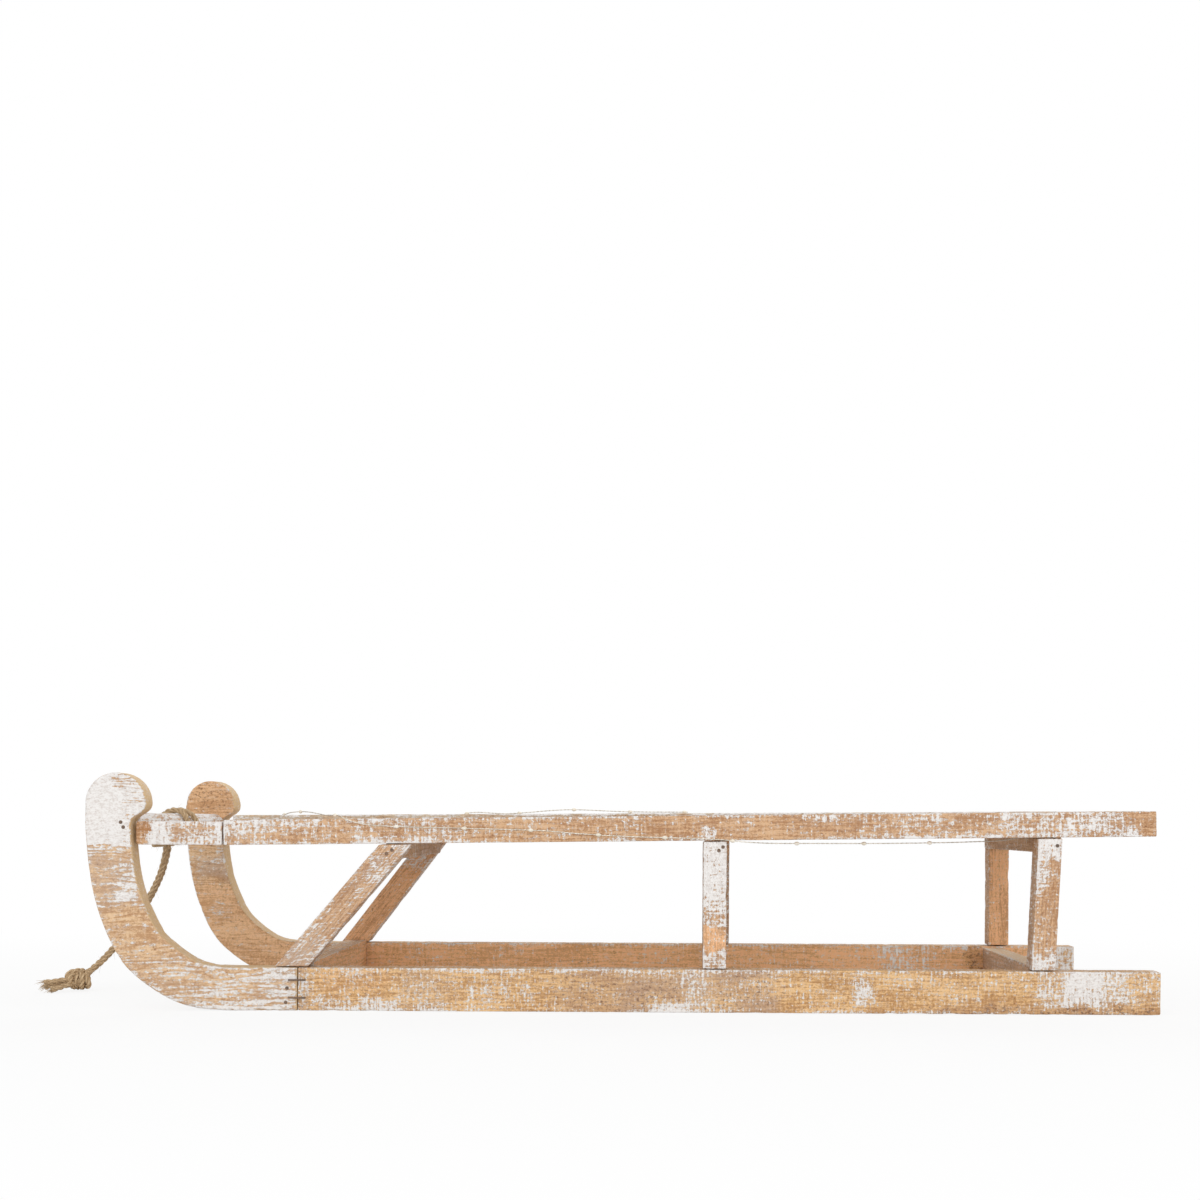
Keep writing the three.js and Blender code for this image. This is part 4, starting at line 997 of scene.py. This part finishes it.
def tipRings(seed):
    # each cut is a rounded rectangle between the two edges, whose corners shrink with the cut's width;
    # three smaller cuts before the first one close the butt end
    outer, inner = (np.concatenate([edge[:1], edge[:1], edge[:1], edge]) for edge in tipEdges())
    half = np.array([tipShape["halfWidth"], tipShape["thickness"] / 2])
    section, normals, arris = roundedRectangle(half, tipShape["arris"], tipShape["step"])
    shrink = np.concatenate([[0.2, 0.5, 0.8], np.ones(len(outer) - 3)])
    share = (section / half * shrink[:, None, None] + 1) / 2
    flat = outer[:, None] * (1 - share[..., :1]) + inner[:, None] * share[..., :1]
    place = np.stack([flat[..., 0], share[..., 1] * tipShape["thickness"], flat[..., 1]], axis=-1)
    waves = softNoise(place, (12, 8, 8), seed, 3) * tipShape["waves"]
    chips = smoothStep(0.6, 0.85, softNoise(place, (8, 6, 8), seed + 9, 3)) * np.exp(-arris / 1.8)
    depth = waves + chips
    depth[:3] = 0
    # worn inwards: through the thickness, and along the cut by no more than a tenth of its width
    width = np.linalg.norm(inner - outer, axis=1)[:, None]
    towards = (inner - outer) / np.maximum(width, 1e-6)
    inwards = np.where(np.abs(normals) > 0.3, -np.sign(normals), 0)
    swing = inwards[:, 0] * np.minimum(depth, width * 0.1)
    push = np.stack([swing * towards[:, :1], depth * inwards[:, 1], swing * towards[:, 1:]], axis=-1)
    return place + push, place, arris


planedFaces = [patch("rear", 0.12, 0.0, -1.0), patch("top", 0.2, 0.0, -0.8)]
tipLooks = {
    "left": {"seed": 307, "wash": 0.34, "tone": 0.1, "dirt": 0.0, "edges": 0.25, "patches": near(
        (60, 300, 760, 1020, 0.3, 0.15, 0.0), (60, 160, 750, 846, 1.4, 0.1, 0.0),
        (112, 160, 750, 796, 0.78), (126, 160, 790, 850, 0.84), (60, 160, 846, 852, 0.8),
        (60, 126, 852, 859, 0.46), (60, 120, 860, 905, 0.26, 0.7, 0.05),
        (114, 140, 868, 910, 0.52, 0.8, 0.0), (60, 112, 908, 960, 0.42, 0.6, 0.0),
        (112, 170, 912, 960, 0.22, 0.1, 0.05), (150, 232, 962, 1020, 0.42, 0.3, 0.0),
        (150, 300, 958, 970, 0.4), (232, 272, 970, 1020, 0.46, 0.2, 0.0),
        (268, 300, 958, 1020, 0.62, 0.5, 0.1), (170, 300, 1001, 1020, 0.6)) + front(
        (829, 890, 120, 480, 0.02, 0.1, 0.0), (836, 880, 124, 165, 0.5), (860, 880, 150, 205, 0.72),
        (838, 852, 290, 410, 0.95), (828, 843, 180, 300, 0.85), (858, 872, 352, 376, 0.5))
        + planedFaces},
    # far tip's inner face: tone below nought is painted light that lifts it out of its shade
    "right": {"seed": 331, "wash": 0.3, "tone": 0.0, "dirt": 0.0, "edges": 0.25, "patches": near(
        (150, 330, 760, 1020, 0.04, -0.3, 0.05), (190, 245, 768, 785, 0.36),
        (190, 245, 786, 820, 0.04, -0.3, 0.5), (192, 232, 852, 882, 0.32, 0.7, 0.1),
        (205, 225, 905, 922, 0.36), y=innerY) + front((310, 375, 120, 480, 0.02, 0.1, 0.05),
        (352, 380, 236, 300, 0.9), (358, 380, 140, 236, 0.66), (360, 380, 300, 440, 0.8),
        (330, 348, 268, 292, 0.42)) + planedFaces},
}
for side, sign in (("left", -1), ("right", 1)):
    look = tipLooks[side]
    seed = look["seed"]
    rings, place, arris = tipRings(seed)
    # from the tip's own frame: y runs inwards from the outer face, turned by the splay about the joint
    x, y, z = rings[..., 0] - tipShape["length"], rings[..., 1] * -sign, rings[..., 2]
    turn = math.radians(-sign * tipShape["splay"])
    world = np.stack([x * math.cos(turn) - y * math.sin(turn) + tipShape["length"] + frontX,
                      x * math.sin(turn) + y * math.cos(turn) + sign * tipShape["faceY"], z], axis=-1)
    grain = np.stack([place[..., 0] + seed * 20, place[..., 2] - 60, place[..., 1] + 40], axis=-1)
    state = stateOf(world, look, seed, np.broadcast_to(arris[None], world.shape[:2]))
    woodPiece("runner_tip_" + side, world, grain, state, "tipWood")

# Dowel: a dented round bar whose ends are rounded off
dowelLook = {"seed": 401, "dents": 0.35, "wash": 0.85, "tone": 0.2, "dirt": 0.1, "patches": [
    patch("front", 0.95, y=(-120, 120)), patch("front", -0.1, 0.1, 0.1, y=(64, 101), z=(120, 138.5)),
    patch("under", 0.1, y=(58, 101)), patch("front", 0.8, y=(86, 92), z=(126, 139)),
    patch("front", 0.2, y=(-62.5, -58.5), z=(130, 134)), patch("front", 0.2, y=(-83, -79.5), z=(131, 135.5)),
    patch("front", 0.0, y=(-112, -101), z=(120, 141)), patch("rear", 0.7, y=(-120, 120)),
]}
low, high = (np.array(v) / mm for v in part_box("dowel_crossbar"))
radius = (high[0] - low[0]) / 2
ring = circle(48)
s = np.concatenate([np.full(3, low[1]), [low[1] + 0.4], np.linspace(low[1] + 1, high[1] - 1, 90),
                    [high[1] - 0.4], np.full(3, high[1])])
shrinks = np.array([0.3, 0.7, 0.95, 0.985])
shrink = np.concatenate([shrinks, np.ones(90), shrinks[::-1]])
base = np.empty((len(s), len(ring), 3))
base[..., [0, 2]] = ring * radius
base[..., 1] = s[:, None]
dents = softNoise(base, (8, 30, 8), dowelLook["seed"], 2) * dowelLook["dents"]
size = (radius * shrink)[:, None] - dents
rings = base.copy()
rings[..., [0, 2]] = (low + high)[[0, 2]] / 2 + ring * size[..., None]
grain = base[..., [1, 0, 2]] + [900, 14, 9]
state = stateOf(rings, dowelLook, dowelLook["seed"])
woodPiece("dowel_crossbar", rings, grain, state, "whiteWood")
print("tips and dowel made")


# Floor, sky and lamps: white to the camera and to mirrors, a plain level on the object

def seenDirectly(f):
    # 1 for rays from the camera, off mirrors and through glass
    node = f.make("ShaderNodeLightPath").socket.node
    camera, glossy, glass = (Field(f, node.outputs["Is " + ray + " Ray"])
                             for ray in ("Camera", "Glossy", "Transmission"))
    most = camera.maths("MAXIMUM", camera, glossy)
    return most.maths("MAXIMUM", most, glass)


f = Finish(bpy.data.materials.new("paleFloor"))
place = f.make("ShaderNodeTexCoord", output="Object")
distance = f.length(f.stretched(place, (0.8, 1, 1)))
share = 0.86 + f.between(distance, 0.35, 0.9) * 0.14
diffuse = f.make("ShaderNodeBsdfDiffuse", None, {"Color": (0.86, 0.86, 0.86, 1)})
glow = f.make("ShaderNodeEmission", None, {"Color": (1, 1, 1, 1), "Strength": 1.0})
mixed = f.make("ShaderNodeMixShader", None, {0: seenDirectly(f) * share, 1: diffuse, 2: glow})
floorMesh = bpy.data.meshes.new("floor")
reach = 6                       # m from the middle to each side of the floor
floorMesh.from_pydata([(x * reach, y * reach, 0) for x, y in ((-1, -1), (1, -1), (1, 1), (-1, 1))],
                      [], [(0, 1, 2, 3)])
floorMesh.materials.append(f.surface(mixed))
placed("floor", floorMesh)

world = bpy.data.worlds.new("studio")
bpy.context.scene.world = world
sky = Finish(world)
skyLevel = 0.64                 # on the object; seen directly it is 1
strength = skyLevel + seenDirectly(sky) * (1 - skyLevel)
background = sky.make("ShaderNodeBackground", None, {"Color": (1, 1, 1, 1), "Strength": strength})
sky.surface(background, "ShaderNodeOutputWorld")

lamps = {
    "front": {"place": (0.05, -2.6, 0.45), "size": 1.8, "power": 23},
    "key": {"place": (-0.9, -1.4, 1.7), "size": 1.6, "power": 6},
    "fill": {"place": (1.2, -0.8, 1.3), "size": 1.6, "power": 4},
    "back": {"place": (0.2, 1.5, 1.5), "size": 1.8, "power": 14},
}
lampAim = Vector((0, 0, 0.08))
for name, lamp in lamps.items():
    data = bpy.data.lights.new(name, "AREA")
    data.shape, data.size, data.energy = "DISK", lamp["size"], lamp["power"]
    turn = (lampAim - Vector(lamp["place"])).to_track_quat("-Z", "Y").to_euler()
    placed(name, data, lamp["place"], turn)

bpy.context.scene.view_settings.view_transform = "Standard"
print("floor and lamps set")
